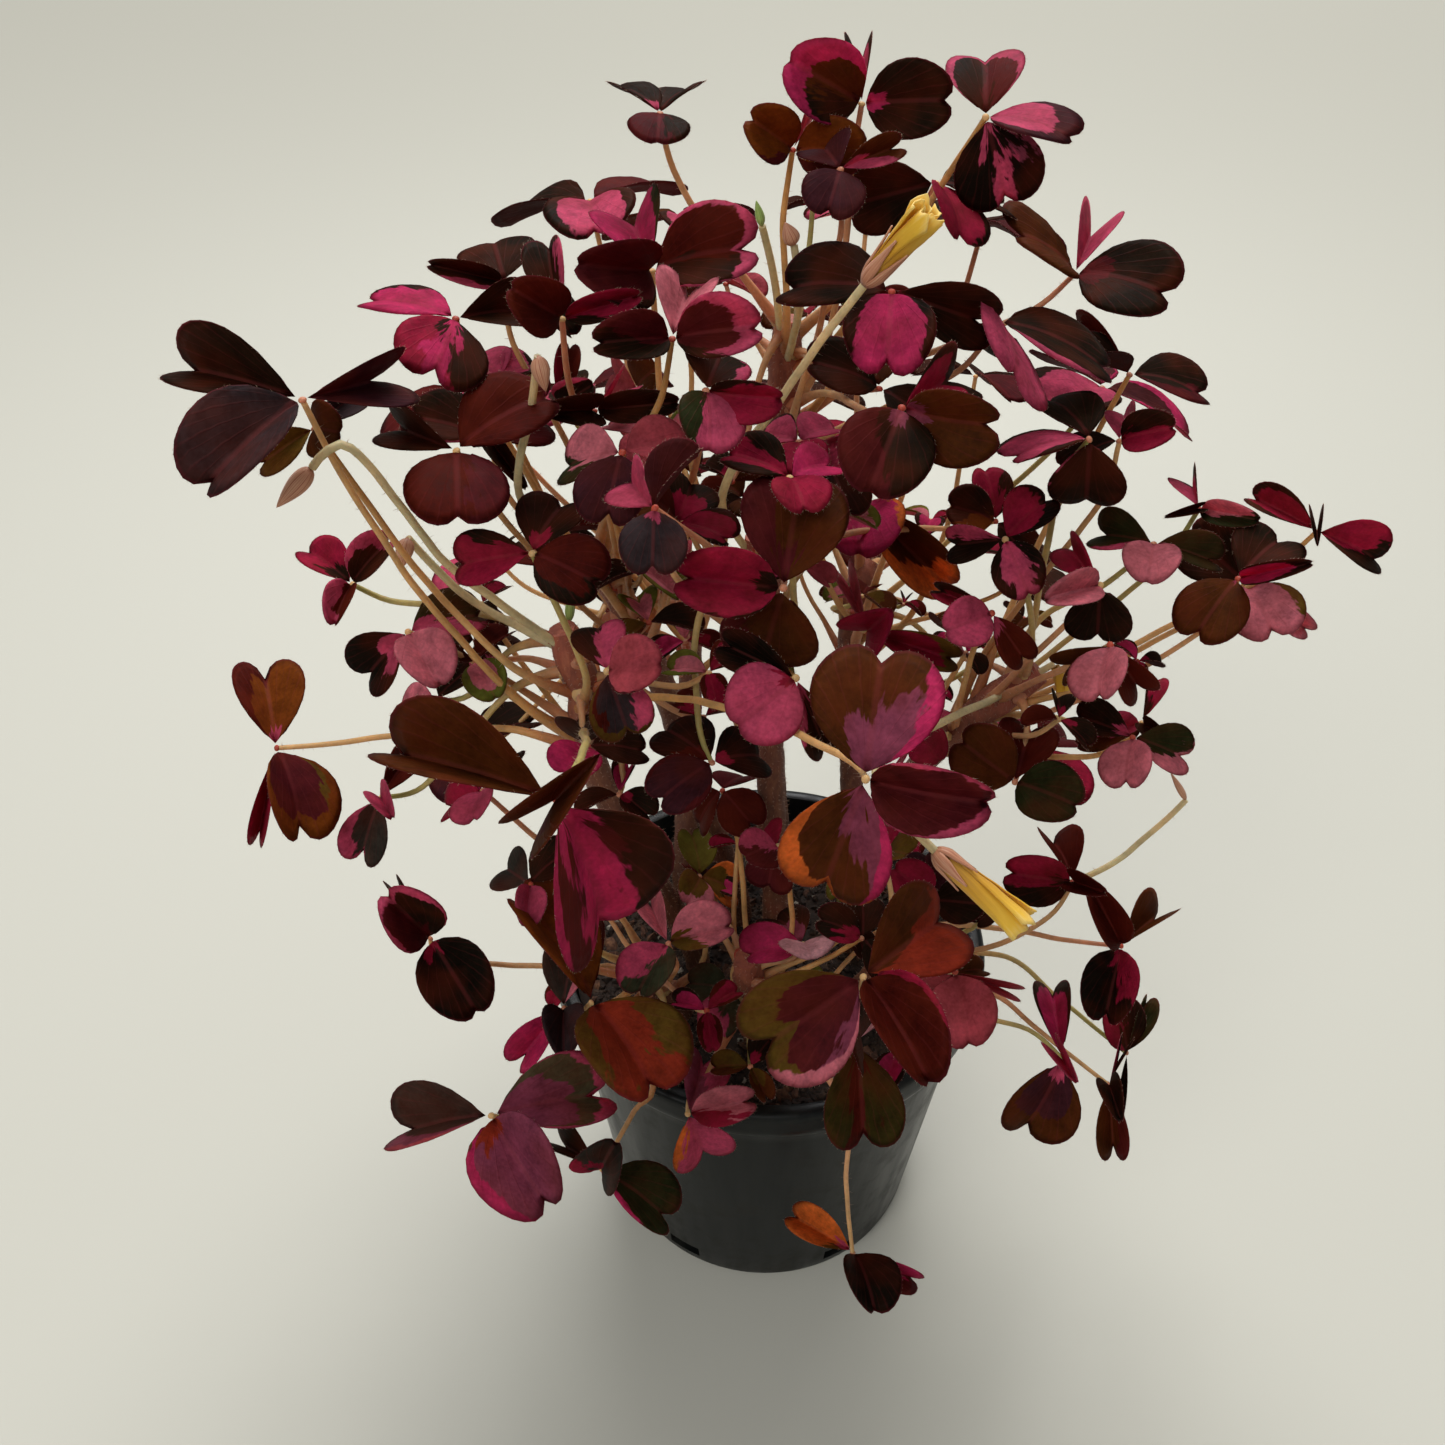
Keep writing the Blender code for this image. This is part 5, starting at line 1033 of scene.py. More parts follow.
def leafletTree(finish):
    # Lays the blade pattern at every leaflet's point, then folds, bulges and curls it by its own values
    add, size = newTree("leaflets", **leafLook)
    grid = add("MeshGrid", {"Vertices X": size["across"], "Vertices Y": size["along"]})
    place = add("InputPosition")
    xyz = add("SeparateXYZ", place)
    s = add("MULTIPLY", xyz.outputs[0], 2.0)
    t = add("ADD", xyz.outputs[1], 0.5)
    sheets = []
    for sheet, face in ((grid, 1.0), (add("FlipFaces", grid), -1.0)):
        cell = add("CombineXYZ", s, t, face)
        sheets.append(add(
            "StoreNamedAttribute", {"Geometry": sheet, "Name": "cell", "Value": cell},
            data_type="FLOAT_VECTOR"))
    laid = add(
        "InstanceOnPoints", {"Points": size["Geometry"], "Instance": add("JoinGeometry", sheets)})
    real = add("RealizeInstances", laid)

    kept = {}
    for key in ("cell", "shape", "side", "axis", "up"):
        kept[key] = add("InputNamedAttribute", key, data_type="FLOAT_VECTOR")
    cellS, cellT, face = add("SeparateXYZ", kept["cell"]).outputs
    length, fold, seed = add("SeparateXYZ", kept["shape"]).outputs

    # The outline: how far the rim is from the base on each line of the fan
    across = add("ABSOLUTE", cellS)
    angle = add("MULTIPLY", across, size["openAngle"])
    fall = add("POWER", add("DIVIDE", angle, size["widestAngle"]), size["roundness"])
    rim = add("POWER", add("SUBTRACT", 1.0, fall), size["shoulder"])
    rim = add("MULTIPLY", rim, size["reach"])
    deep = add("MULTIPLY", size["notch"], add("ADD", 0.6, add("MULTIPLY", seed, 0.9)))
    dent = add("EXPONENT", add("DIVIDE", add("MULTIPLY", angle, -1.0), size["notchAngle"]))
    rim = add("SUBTRACT", rim, add("MULTIPLY", deep, dent))
    wobble = streakNoise(add, (cellS, seed), (1.3, 61.0), 1.0)
    rim = add("MULTIPLY", rim, add("ADD", 0.96, add("MULTIPLY", wobble, 0.08)))
    radians = add("MULTIPLY", add("MULTIPLY", cellS, size["openAngle"]), math.pi / 180.0)
    outwards = add("MULTIPLY", add("MULTIPLY", rim, cellT), length)
    wide = add("MULTIPLY", outwards, add("SINE", radians))
    own = add("FRACT", add("MULTIPLY", seed, 7.3))
    wide = add("MULTIPLY", wide, add("ADD", 0.9, add("MULTIPLY", own, 0.18)))
    far = add("MULTIPLY", outwards, add("COSINE", radians))
    far = add("ADD", far, add("MULTIPLY", size["hubGap"], length))

    # The form: two convex halves that rise from the midrib, a bulge along it and a slow wave
    wideAway = add("ABSOLUTE", wide)
    folded = add("MULTIPLY", wide, add("COSINE", fold))
    rise = add("MULTIPLY", wideAway, add("SINE", fold))
    bent = add("DIVIDE", add("MULTIPLY", wideAway, wideAway), length)
    rise = add("SUBTRACT", rise, add("MULTIPLY", bent, size["curl"]))
    share = add("DIVIDE", far, length)
    arch = add("MULTIPLY", share, add("SUBTRACT", 1.0, share))
    rise = add("ADD", rise, add("MULTIPLY", add("MULTIPLY", arch, length), 4.0 * bladeOutline["bulge"]))
    wave = streakNoise(add, (cellS, cellT, seed), (1.6, 1.8, 43.0), 2.0)
    wave = add("MULTIPLY", add("SUBTRACT", wave, 0.5), add("MULTIPLY", size["wave"], length))
    rise = add("ADD", rise, add("MULTIPLY", wave, add("MULTIPLY", cellT, 2.0)))
    body = add("MULTIPLY", face, add("MULTIPLY", size["thickness"], 0.5 * mm))
    for edge in (cellT, across, add("SUBTRACT", 1.0, cellT)):
        body = add("MULTIPLY", body, add("SUBTRACT", 1.0, add("POWER", edge, 9.0)))
    rise = add("ADD", rise, body)
    flat = add("CombineXYZ", add("DIVIDE", cellS, 2.0), add("SUBTRACT", cellT, 0.5))
    placed = add("VectorMath", add("InputPosition"), flat, operation="SUBTRACT")
    for key, amount in (("side", folded), ("axis", far), ("up", rise)):
        step = add("VectorMath", kept[key], amount, operation="SCALE")
        placed = add("VectorMath", placed, step, operation="ADD")
    formed = add("SetPosition", {"Geometry": real, "Position": placed})
    closed = add("MergeByDistance", {"Geometry": formed, "Distance": 0.001 * mm})
    return finishTree(add, closed, finish)


def sorrelLeafMaterial():
    # Sorrel leaf: a thin waxy blade that the light behind it warms, so its ground is dark with a glow,
    # its patches are jagged along the fan of veins, and its rim and midrib are thin pale red lines. The
    # rim's pale red is partly its own colour and partly painted glow of backlit hairs, and some redder
    # brown patches are partly painted sheen and glow
    finish, add = newMaterial("sorrel leaf")
    kept = {}
    for key in ("cell", "shape", "starts", "wayA", "wayB", "wayC"):
        stored = add("Attribute", attribute_name=key)
        kept[key] = add("SeparateXYZ", stored.outputs["Vector"]).outputs
    s, t, face = kept["cell"]
    seed = kept["shape"][2]
    away = add("ABSOLUTE", s)
    across = add("MULTIPLY", s, t)
    upright = add("SUBTRACT", add("MULTIPLY", t, 2.0), 1.0)
    fromMidrib = add("ABSOLUTE", across)

    # Patch edges jag along the veins: long streaks, and fine teeth across them
    streak = streakNoise(add, (s, t, seed), (3.2, 1.9, 37.0), 1.0)
    tooth = streakNoise(add, (s, t, seed), (15.0, 7.0, 53.0), 2.0)
    wide, fine = [
        add("MULTIPLY", add("SUBTRACT", way, 0.5), share) for way, share in ((streak, 0.65), (tooth, 0.3))]
    jag = add("ADD", wide, fine)
    colour = add("Attribute", attribute_name="ground").outputs["Color"]
    for i, letter in enumerate("ABC"):
        weightAcross, weightAlong, weightAway = kept["way" + letter]
        reach = add("MULTIPLY_ADD", across, weightAcross, add("MULTIPLY", upright, weightAlong))
        reach = add("MULTIPLY_ADD", fromMidrib, weightAway, reach)
        reach = add("ADD", add("SUBTRACT", reach, kept["starts"][i]), jag)
        mask = add("MapRange", reach, -0.03, 0.03, interpolation_type="SMOOTHSTEP")
        patch = add("Attribute", attribute_name="patch" + letter).outputs["Color"]
        colour = add("Mix", mask, colour, patch, data_type="RGBA")

    # Soft blotches about 2 mm wide and a grain about 0.4 mm wide
    where = add("TexCoord").outputs["Object"]
    blotch = add("TexNoise", where, 1.0 / (2.0 * mm), 3.0)
    grain = add("TexNoise", where, 1.0 / (0.4 * mm), 2.0)
    light = add("ADD", add("MULTIPLY", blotch, 1.3), add("MULTIPLY", grain, 0.8))
    colour = add("VectorMath", colour, add("SUBTRACT", light, 0.05), operation="SCALE")

    # Over some 6 mm the ground drifts from soot to a redder brown: partly the leaf's own red-brown
    # mottling, partly painted sheen and glow of the light behind it
    drift = add("TexNoise", where, 1.0 / (6.0 * mm), 2.0)
    redMottleAndGlow = add("MapRange", drift, 0.42, 0.66)
    colour = add("Mix", add("MULTIPLY", redMottleAndGlow, 0.3), colour, linear("#6e2a16"), data_type="RGBA")

    # Veins fan out from the base and fork half way; the midrib is the widest
    fan = add("PINGPONG", add("ADD", add("MULTIPLY", away, 5.0), add("MULTIPLY", tooth, 0.25)), 0.5)
    fork = add("PINGPONG", add("ADD", add("MULTIPLY", away, 10.0), add("MULTIPLY", tooth, 0.4)), 0.5)
    vein = add("MapRange", fan, 0.0, 0.09, 1.0, 0.0, interpolation_type="SMOOTHSTEP")
    side = add("MapRange", fork, 0.0, 0.12, 1.0, 0.0, interpolation_type="SMOOTHSTEP")
    side = add("MULTIPLY", side, add("MapRange", t, 0.45, 0.8))
    midrib = add("MapRange", fromMidrib, 0.012, 0.035, 1.0, 0.0)
    lines = add("MAXIMUM", add("MULTIPLY", vein, 0.5), add("MULTIPLY", side, 0.35))
    lines = add("MAXIMUM", lines, midrib)
    lighter = add("Mix", add("MULTIPLY", lines, 0.2), colour, linear("#8e3a3c"), data_type="RGBA")
    # The rim's thin pale red line: partly the rim's own red, partly painted glow of light through its hairs
    rimLineAndGlow = add("MapRange", add("MAXIMUM", t, away), 0.965, 0.99)
    colour = add("Mix", add("MULTIPLY", rimLineAndGlow, 0.35), lighter, linear("#8a3440"), data_type="RGBA")
    under = add("MapRange", face, 0.1, -0.1)
    purple = add("Mix", add("MULTIPLY", under, 0.3), colour, linear("#54282c"), data_type="RGBA")

    relief = add("ADD", add("MULTIPLY", lines, -0.6), add("MULTIPLY", blotch, 0.8))
    bump = add("Bump", {"Strength": 0.35, "Distance": 0.25 * mm, "Height": relief})
    rough = add("MapRange", grain, 0.3, 0.7, 0.5, 0.66)
    skin = add("BsdfPrincipled", {
        "Base Color": purple, "Roughness": rough, "Normal": bump, "Specular IOR Level": 0.03, "IOR": 1.45})
    glow = add("HueSaturation", {"Saturation": 1.08, "Value": 2.1, "Color": purple})
    glow = add("Mix", 0.3, glow, linear("#8c3a12"), data_type="RGBA")
    through = add("BsdfTranslucent", {"Color": glow, "Normal": bump})
    add("OutputMaterial", add("MixShader", 0.38, skin, through))
    return finish


# Petioles, stems and flower stalks: their radii in millimetres, and their colours along the way
stalkLook = dict(step=1.1, sides=6, waver=0.22, waverLength=9.0)
stemLook = dict(step=0.8, sides=14, lumps=0.32, lumpLength=2.2)
petioleSizes = dict(foot=0.48, middle=0.36, neck=0.28, swelling=0.34, swellsFrom=0.84)
hubSizes = dict(radius=0.38, flatness=0.7)
knobSizes = dict(smallest=0.7, largest=1.2, flatness=1.1)
flowerStalkSizes = dict(radius=0.46, thinning=0.1)
stalkTones = {name: linear(tone) for name, tone in dict(
    tan="#d8b27c", gold="#cc9a58", rose="#c88868", brown="#b0764a", green="#a29c58", red="#b44a36",
    straw="#d2c8a0", bark="#5a3422", crown="#b85844").items()}
petioleTones = [
    ("tan", "gold"), ("tan", "brown"), ("gold", "tan"), ("green", "tan"), ("rose", "tan"), ("tan", "rose")]


def lineCarrier(name, lines):
    # Polylines with a radius and a colour at every point
    points = []
    edges = []
    radii = []
    tones = []
    for line in lines:
        start = len(points)
        points += line["points"]
        radii += [radius * mm for radius in line["radii"]]
        tones += line["tones"]
        edges += [(i, i + 1) for i in range(start, len(points) - 1)]
    return carrierMesh(name, points, edges, thick=radii, tone=tones)


def smoothCurve(add, size):  # a smooth curve through the carrier's points, in even steps
    curve = add("CurveSplineType", add("MeshToCurve", size["Geometry"]), spline_type="CATMULL_ROM")
    step = add("MULTIPLY", size["step"], mm)
    return add("ResampleCurve", {"Curve": curve, "Length": step}, mode="LENGTH")


def sweptTube(add, size, curve):  # a closed round tube, as thick as the curve's points say
    ring = add("CurvePrimitiveCircle", {"Resolution": size["sides"], "Radius": 1.0})
    thick = add("InputNamedAttribute", "thick", data_type="FLOAT")
    return add("CurveToMesh", {"Curve": curve, "Profile Curve": ring, "Scale": thick, "Fill Caps": True})


def stalkTree(finish):
    # Turns each polyline into a smooth round stalk that wavers a little and keeps both its ends
    add, size = newTree("stalks", **stalkLook)
    often = add("DIVIDE", 1.0 / mm, size["waverLength"])
    ripple = add("TexNoise", add("InputPosition"), often, 1.0)
    shift = add("VectorMath", ripple.outputs["Color"], (0.5, 0.5, 0.5), operation="SUBTRACT")
    share = add("SplineParameter")
    loose = add("MULTIPLY", add("MULTIPLY", share, add("SUBTRACT", 1.0, share)), 4.0)
    loose = add("MULTIPLY", add("MULTIPLY", size["waver"], 4.0 * mm), loose)
    shift = add("VectorMath", shift, loose, operation="SCALE")
    curve = add("SetPosition", {"Geometry": smoothCurve(add, size), "Offset": shift})
    return finishTree(add, sweptTube(add, size, curve), finish)


def stemTree(finish):
    # A stem is swept like a stalk, and old leaf scars swell it here and there
    add, size = newTree("stems", **stemLook)
    tube = sweptTube(add, size, smoothCurve(add, size))
    often = add("DIVIDE", 1.0 / mm, size["lumpLength"])
    lump = add("TexNoise", add("InputPosition"), often, 2.0)
    swell = add("MULTIPLY", add("SUBTRACT", lump, 0.6), add("MULTIPLY", size["lumps"], 2.0 * mm))
    shift = add("VectorMath", add("InputNormal"), swell, operation="SCALE")
    return finishTree(add, add("SetPosition", {"Geometry": tube, "Offset": shift}), finish)


def knobTree(finish):
    # A small round knob on every point: where leaflets meet, and where petioles leave a stem
    add, size = newTree("knobs", flatness=1.0)
    ball = add("MeshIcoSphere", {"Radius": 1.0, "Subdivisions": 2})
    thick = add("InputNamedAttribute", "thick", data_type="FLOAT")
    stretch = add("CombineXYZ", thick, thick, add("MULTIPLY", thick, size["flatness"]))
    facing = add("InputNamedAttribute", "facing", data_type="FLOAT_VECTOR")
    turn = add("AlignRotationToVector", {"Vector": facing}, axis="Z")
    laid = add("InstanceOnPoints", {
        "Points": size["Geometry"], "Instance": ball, "Rotation": turn, "Scale": stretch})
    return finishTree(add, laid, finish)


def stalkMaterial():
    # Sorrel stalk: a juicy, faintly see-through stem with fine lengthwise fibres and red specks
    finish, add = newMaterial("sorrel stalk")
    tone = add("Attribute", attribute_name="tone").outputs["Color"]
    where = add("TexCoord").outputs["Object"]
    speck = add("TexNoise", where, 1.0 / (0.7 * mm), 4.0)
    patchy = add("TexNoise", where, 1.0 / (4.0 * mm), 2.0)
    light = add("ADD", add("MULTIPLY", patchy, 0.7), add("MULTIPLY", speck, 0.6))
    colour = add("VectorMath", tone, add("ADD", light, 0.35), operation="SCALE")
    redness = add("MapRange", speck, 0.6, 0.78)
    colour = add("Mix", add("MULTIPLY", redness, 0.4), colour, linear("#8a3c30"), data_type="RGBA")
    bump = add("Bump", {"Strength": 0.3, "Distance": 0.15 * mm, "Height": speck})
    skin = add("BsdfPrincipled", {
        "Base Color": colour, "Roughness": 0.5, "Normal": bump, "Subsurface Weight": 0.25,
        "Subsurface Radius": (0.8 * mm, 0.35 * mm, 0.2 * mm), "Subsurface Scale": 1.0, "IOR": 1.42})
    glow = add("HueSaturation", {"Saturation": 1.15, "Value": 1.25, "Color": colour})
    through = add("BsdfTranslucent", {"Color": glow, "Normal": bump})
    add("OutputMaterial", add("MixShader", 0.3, skin, through))
    return finish


def barkMaterial():
    # Woody sorrel stem: reddish-brown corky skin with darker cracks and pale leaf scars
    finish, add = newMaterial("woody stem")
    where = add("TexCoord").outputs["Object"]
    stretched = add("Mapping", {"Vector": where, "Scale": (1.0, 1.0, 0.45)})
    cork = add("TexNoise", stretched, 1.0 / (0.9 * mm), 5.0, 0.65)
    band = add("TexNoise", where, 1.0 / (5.0 * mm), 2.0)
    ramp = setStops(add("ValToRGB", cork), [(0.25, "#2c1a10"), (0.5, "#6a4026"), (0.75, "#9c7044")])
    red = add("MapRange", band, 0.52, 0.68)
    colour = add("Mix", add("MULTIPLY", red, 0.6), ramp, linear("#8c3420"), data_type="RGBA")
    tone = add("Attribute", attribute_name="tone").outputs["Color"]
    fresh = add("VectorMath", tone, add("ADD", add("MULTIPLY", cork, 1.3), 0.25), operation="SCALE")
    colour = add("Mix", 0.7, colour, fresh, data_type="RGBA")
    bump = add("Bump", {"Strength": 0.6, "Distance": 0.3 * mm, "Height": cork})
    add("OutputMaterial", add("BsdfPrincipled", {
        "Base Color": colour, "Roughness": 0.68, "Normal": bump, "Subsurface Weight": 0.08,
        "Subsurface Radius": (0.6 * mm, 0.3 * mm, 0.2 * mm), "Subsurface Scale": 1.0}))
    return finish


def mixTone(first, second, share):
    return tuple(a + (b - a) * share for a, b in zip(first, second))


def petioleLine(leaf, rng):
    # From the hub down to the stem: narrow and tan at the neck, thicker and redder at the foot
    neck, middle, foot = [petioleSizes[key] for key in ("neck", "middle", "foot")]
    upper, lower = [stalkTones[name] for name in rng.choice(petioleTones)]
    base = stalkTones[rng.choice(["red", "rose", "brown", "red"])]
    points = [leaf["pose"]["hub"] - leaf["pose"]["frame"][0] * 0.15] + leaf["pose"]["path"][1:]
    radii = []
    tones = []
    for i in range(len(points)):
        share = i / (len(points) - 1)
        if share < 0.5:
            radius = neck + (middle - neck) * share * 2.0
        else:
            radius = middle + (foot - middle) * (share * 2.0 - 1.0)
        swollen = max(0.0, (share - petioleSizes["swellsFrom"]) / (1.0 - petioleSizes["swellsFrom"]))
        radii.append(radius + petioleSizes["swelling"] * swollen)
        tones.append(mixTone(mixTone(upper, lower, share), base, swollen * 0.85))
    return dict(points=points, radii=radii, tones=tones)


def flowerLine(stalk):
    # A flower stalk thins towards its end, and is straw pale with tan shades
    points = stalk["line"]
    radius, thinning = flowerStalkSizes["radius"], flowerStalkSizes["thinning"]
    radii = [radius - thinning * i / len(points) for i in range(len(points))]
    shares = [(i * 0.37) % 1.0 * 0.5 for i in range(len(points))]
    tones = [mixTone(stalkTones["straw"], stalkTones["tan"], share) for share in shares]
    return dict(points=points, radii=radii, tones=tones)


def knobCarrier(name, spots):
    points, radii, facings, tones = zip(*spots)
    return carrierMesh(name, points, thick=[radius * mm for radius in radii], facing=facings, tone=tones)


def stalkSpots(plans, rng):
    # Hub knobs in the leaf's own plane, and red stipule knobs round the petioles' feet, each with its
    # place, radius, direction and tone
    hubs = []
    feet = []
    for leaf in plans:
        pose = leaf["pose"]
        normal, path = pose["frame"][0], pose["path"]
        tone = stalkTones[rng.choice(["tan", "rose", "red"])]
        hubs.append((pose["hub"] - normal * 0.1, hubSizes["radius"], normal, tone))
        way = (path[-2] - path[-1]).normalized()
        radius = rng.uniform(knobSizes["smallest"], knobSizes["largest"])
        tone = stalkTones[rng.choice(["red", "rose", "brown", "tan"])]
        feet.append((path[-1] + way * 0.5, radius, way, tone))
    return hubs, feet


# Blooms in millimetres: five furled petals in a hood of five narrow sepals
bloomLook = dict(
    upper=dict(length=8.5, tubeRadius=0.82, mouthRadius=1.55, flare=1.6, frill=1.1, sepals=0.6),
    withered=dict(length=3.6, tubeRadius=0.4, mouthRadius=1.2, flare=1.1, frill=1.3),
    lower=dict(length=9.8, tubeRadius=0.84, mouthRadius=1.62, flare=1.9, frill=0.8, sepals=0.42))
petalSizes = dict(
    count=5, thickness=0.12, overlap=1.5, twist=0.7, rows=18, columns=9, tuck=0.11, furl=0.8)
sepalSizes = dict(
    count=5, width=0.62, thickness=0.16, twist=0.15, rows=12, columns=5, standOff=0.2, footRadius=0.45)
budSizes = dict(radius=1.0, sepals=5, rows=14, ribs=0.12)


def thickSheet(rows, thickness):
    # A closed thin solid from rows of points: the sheet, its back and the rim that joins them
    grid = np.array([[tuple(point) for point in row] for row in rows])
    down = np.gradient(grid, axis=0)
    over = np.gradient(grid, axis=1)
    normals = np.cross(over, down)
    normals /= np.maximum(np.linalg.norm(normals, axis=2, keepdims=True), 1e-9)
    front = (grid + normals * thickness / 2).reshape(-1, 3)
    back = (grid - normals * thickness / 2).reshape(-1, 3)
    high, wide = grid.shape[:2]
    count = high * wide
    faces = []
    for r in range(high - 1):
        for c in range(wide - 1):
            a, b = r * wide + c, r * wide + c + 1
            faces.append((a, a + wide, b + wide, b))
            faces.append((a + count, b + count, b + wide + count, a + wide + count))
    rim = list(range(wide)) + [r * wide + wide - 1 for r in range(1, high)]
    rim += [(high - 1) * wide + c for c in range(wide - 2, -1, -1)]
    rim += [r * wide for r in range(high - 2, 0, -1)]
    for a, b in zip(rim, rim[1:] + rim[:1]):
        faces.append((a, b, b + count, a + count))
    return [Vector(p) for p in np.concatenate([front, back])], faces


def joinSheets(name, sheets, finish, **values):
    # Several closed solids in one smooth mesh, with the values of each one's points
    verts = []
    faces = []
    for points, polygons in sheets:
        start = len(verts)
        verts += points
        faces += [tuple(corner + start for corner in face) for face in polygons]
    columns = {key: sum(rows, []) for key, rows in values.items()}
    whole = carrierMesh(name, verts, faces=faces, **columns)
    editable = bmesh.new()
    editable.from_mesh(whole)
    bmesh.ops.recalc_face_normals(editable, faces=editable.faces)
    editable.to_mesh(whole)
    editable.free()
    whole.shade_smooth()
    whole.materials.append(finish)
    return whole


def petalSheets(bloom, look, rng):
    # Furled petals: each starts inside its neighbour and ends outside it, and frays at the mouth
    way = bloom["way"]
    around = aroundWay(way)
    sheets = []
    places = []
    count = petalSizes["count"]
    for k in range(count):
        middle = math.tau * k / count + rng.uniform(-0.15, 0.15)
        rows = []
        kept = []
        for r in range(petalSizes["rows"]):
            t = r / (petalSizes["rows"] - 1)
            row = []
            for c in range(petalSizes["columns"]):
                u = c / (petalSizes["columns"] - 1)
                turn = middle + (u - 0.5) * math.tau / count * petalSizes["overlap"]
                turn += t * petalSizes["twist"]
                fray = noise.noise(Vector((k * 5.0, u * 3.5, 1.0))) * look["frill"]
                fray -= (2.0 * u - 1.0) ** 4 * 0.5
                reach = look["length"] * (0.12 + 0.88 * t) + fray * t ** 3
                opening = look["mouthRadius"] - look["tubeRadius"]
                radius = look["tubeRadius"] + opening * t ** look["flare"]
                radius *= 1.0 - petalSizes["furl"] * t ** 2.5 * (1.0 - u) ** 1.4
                radius += (u - 0.5) * 2.0 * petalSizes["tuck"] * (0.6 + t)
                radius += noise.noise(Vector((k * 3.0 + u * 4.0, t * 5.0, 7.0))) * 0.16 * t
                row.append(bloom["base"] + way * reach + around(turn) * radius)
                kept.append((u, t, k / count))
            rows.append(row)
        sheets.append(thickSheet(rows, petalSizes["thickness"]))
        places.append(kept + kept)
    return sheets, places


def sepalSheets(bloom, look, rng):
    # Narrow pointed sepals that hug the tube and stand a little off it at their tips
    way = bloom["way"]
    around = aroundWay(way)
    sheets = []
    places = []
    count = sepalSizes["count"]
    for k in range(count):
        middle = math.tau * (k + 0.5) / count + rng.uniform(-0.12, 0.12)
        longest = look["length"] * look["sepals"] * rng.uniform(0.88, 1.08)
        rows = []
        kept = []
        for r in range(sepalSizes["rows"]):
            t = r / (sepalSizes["rows"] - 1)
            row = []
            away = look["tubeRadius"] + sepalSizes["standOff"] - sepalSizes["footRadius"]
            radius = sepalSizes["footRadius"] + away * min(1.0, t * 4.0) ** 0.6
            radius += (look["mouthRadius"] - look["tubeRadius"]) * (t * look["sepals"]) ** look["flare"]
            radius += 0.12 * t * t
            belly = 0.75 + 0.25 * math.sin(math.pi * min(1.0, t * 1.6))
            half = sepalSizes["width"] * (1.0 - t ** 2.2) * belly
            for c in range(sepalSizes["columns"]):
                u = c / (sepalSizes["columns"] - 1) * 2.0 - 1.0
                turn = middle + u * max(half, 0.03) / radius + t * sepalSizes["twist"]
                arm = around(turn) * (radius - 0.05 * u * u)
                row.append(bloom["base"] + way * (longest * t - 0.1) + arm)
                kept.append((u, t, k / count))
            rows.append(row)
        sheets.append(thickSheet(rows, sepalSizes["thickness"]))
        places.append(kept + kept)
    return sheets, places


def budSheet(start, end, radius):
    # A closed pointed bud with five low ribs where its sepals meet
    way = (end - start).normalized()
    around = aroundWay(way)
    length = (end - start).length
    verts = [start - way * 0.1]
    faces = []
    kept = [(0.0, 0.0, 0.0)]
    sides = budSizes["sepals"] * 4
    for r in range(1, budSizes["rows"]):
        t = r / budSizes["rows"]
        belly = math.sin(math.pi * t ** 0.72) ** 0.8 * (1.0 - 0.25 * t)
        for c in range(sides):
            turn = math.tau * c / sides
            ribbed = 1.0 - budSizes["ribs"] * (0.5 + 0.5 * math.cos(turn * budSizes["sepals"]))
            verts.append(start + way * length * t + around(turn) * radius * belly * ribbed)
            kept.append((math.cos(turn * budSizes["sepals"]), t, 0.5))
    verts.append(end)
    kept.append((0.0, 1.0, 0.0))
    for c in range(sides):
        d = (c + 1) % sides
        faces.append((0, 1 + d, 1 + c))
        for r in range(budSizes["rows"] - 2):
            low = 1 + r * sides
            faces.append((low + c, low + d, low + sides + d, low + sides + c))
        last = 1 + (budSizes["rows"] - 2) * sides
        faces.append((last + c, last + d, len(verts) - 1))
    return (verts, faces), kept


def petalMaterial():
    # Sorrel petal: silky yellow tissue, paler at the folded rim, with fine veins along it
    finish, add = newMaterial("sorrel petal")
    u, t, which = add("SeparateXYZ", add("Attribute", attribute_name="cell").outputs["Vector"]).outputs
    vein = streakNoise(add, (u, t, which), (14.0, 1.6, 31.0), 3.0)
    ramp = setStops(
        add("ValToRGB", add("ADD", add("MULTIPLY", t, 0.75), add("MULTIPLY", vein, 0.3))),
        [(0.1, "#c8923c"), (0.45, "#e0a828"), (0.8, "#f0c63a"), (1.0, "#f6e090")])
    bump = add("Bump", {"Strength": 0.5, "Distance": 0.12 * mm, "Height": vein})
    skin = add(
        "BsdfPrincipled", {"Base Color": ramp, "Roughness": 0.55, "Normal": bump, "Sheen Weight": 0.15})
    through = add("BsdfTranslucent", {"Color": ramp, "Normal": bump})
    add("OutputMaterial", add("MixShader", 0.3, skin, through))
    return finish


def sepalMaterial(name, streaks, footTone):
    # Sorrel sepal, bud or tender leaf: soft skin with streaks along it and a foot of another tone
    finish, add = newMaterial(name)
    u, t, which = add("SeparateXYZ", add("Attribute", attribute_name="cell").outputs["Vector"]).outputs
    streak = streakNoise(add, (u, t, which), (4.0, 0.9, 17.0), 3.0)
    ramp = setStops(add("ValToRGB", streak), list(zip((0.3, 0.5, 0.7), streaks)))
    foot = add("MapRange", t, 0.35, 0.0)
    colour = add("Mix", add("MULTIPLY", foot, 0.4), ramp, linear(footTone), data_type="RGBA")
    bump = add("Bump", {"Strength": 0.4, "Distance": 0.1 * mm, "Height": streak})
    skin = add(
        "BsdfPrincipled", {"Base Color": colour, "Roughness": 0.5, "Normal": bump, "Sheen Weight": 0.1})
    through = add("BsdfTranslucent", {"Color": colour, "Normal": bump})
    add("OutputMaterial", add("MixShader", 0.2, skin, through))
    return finish


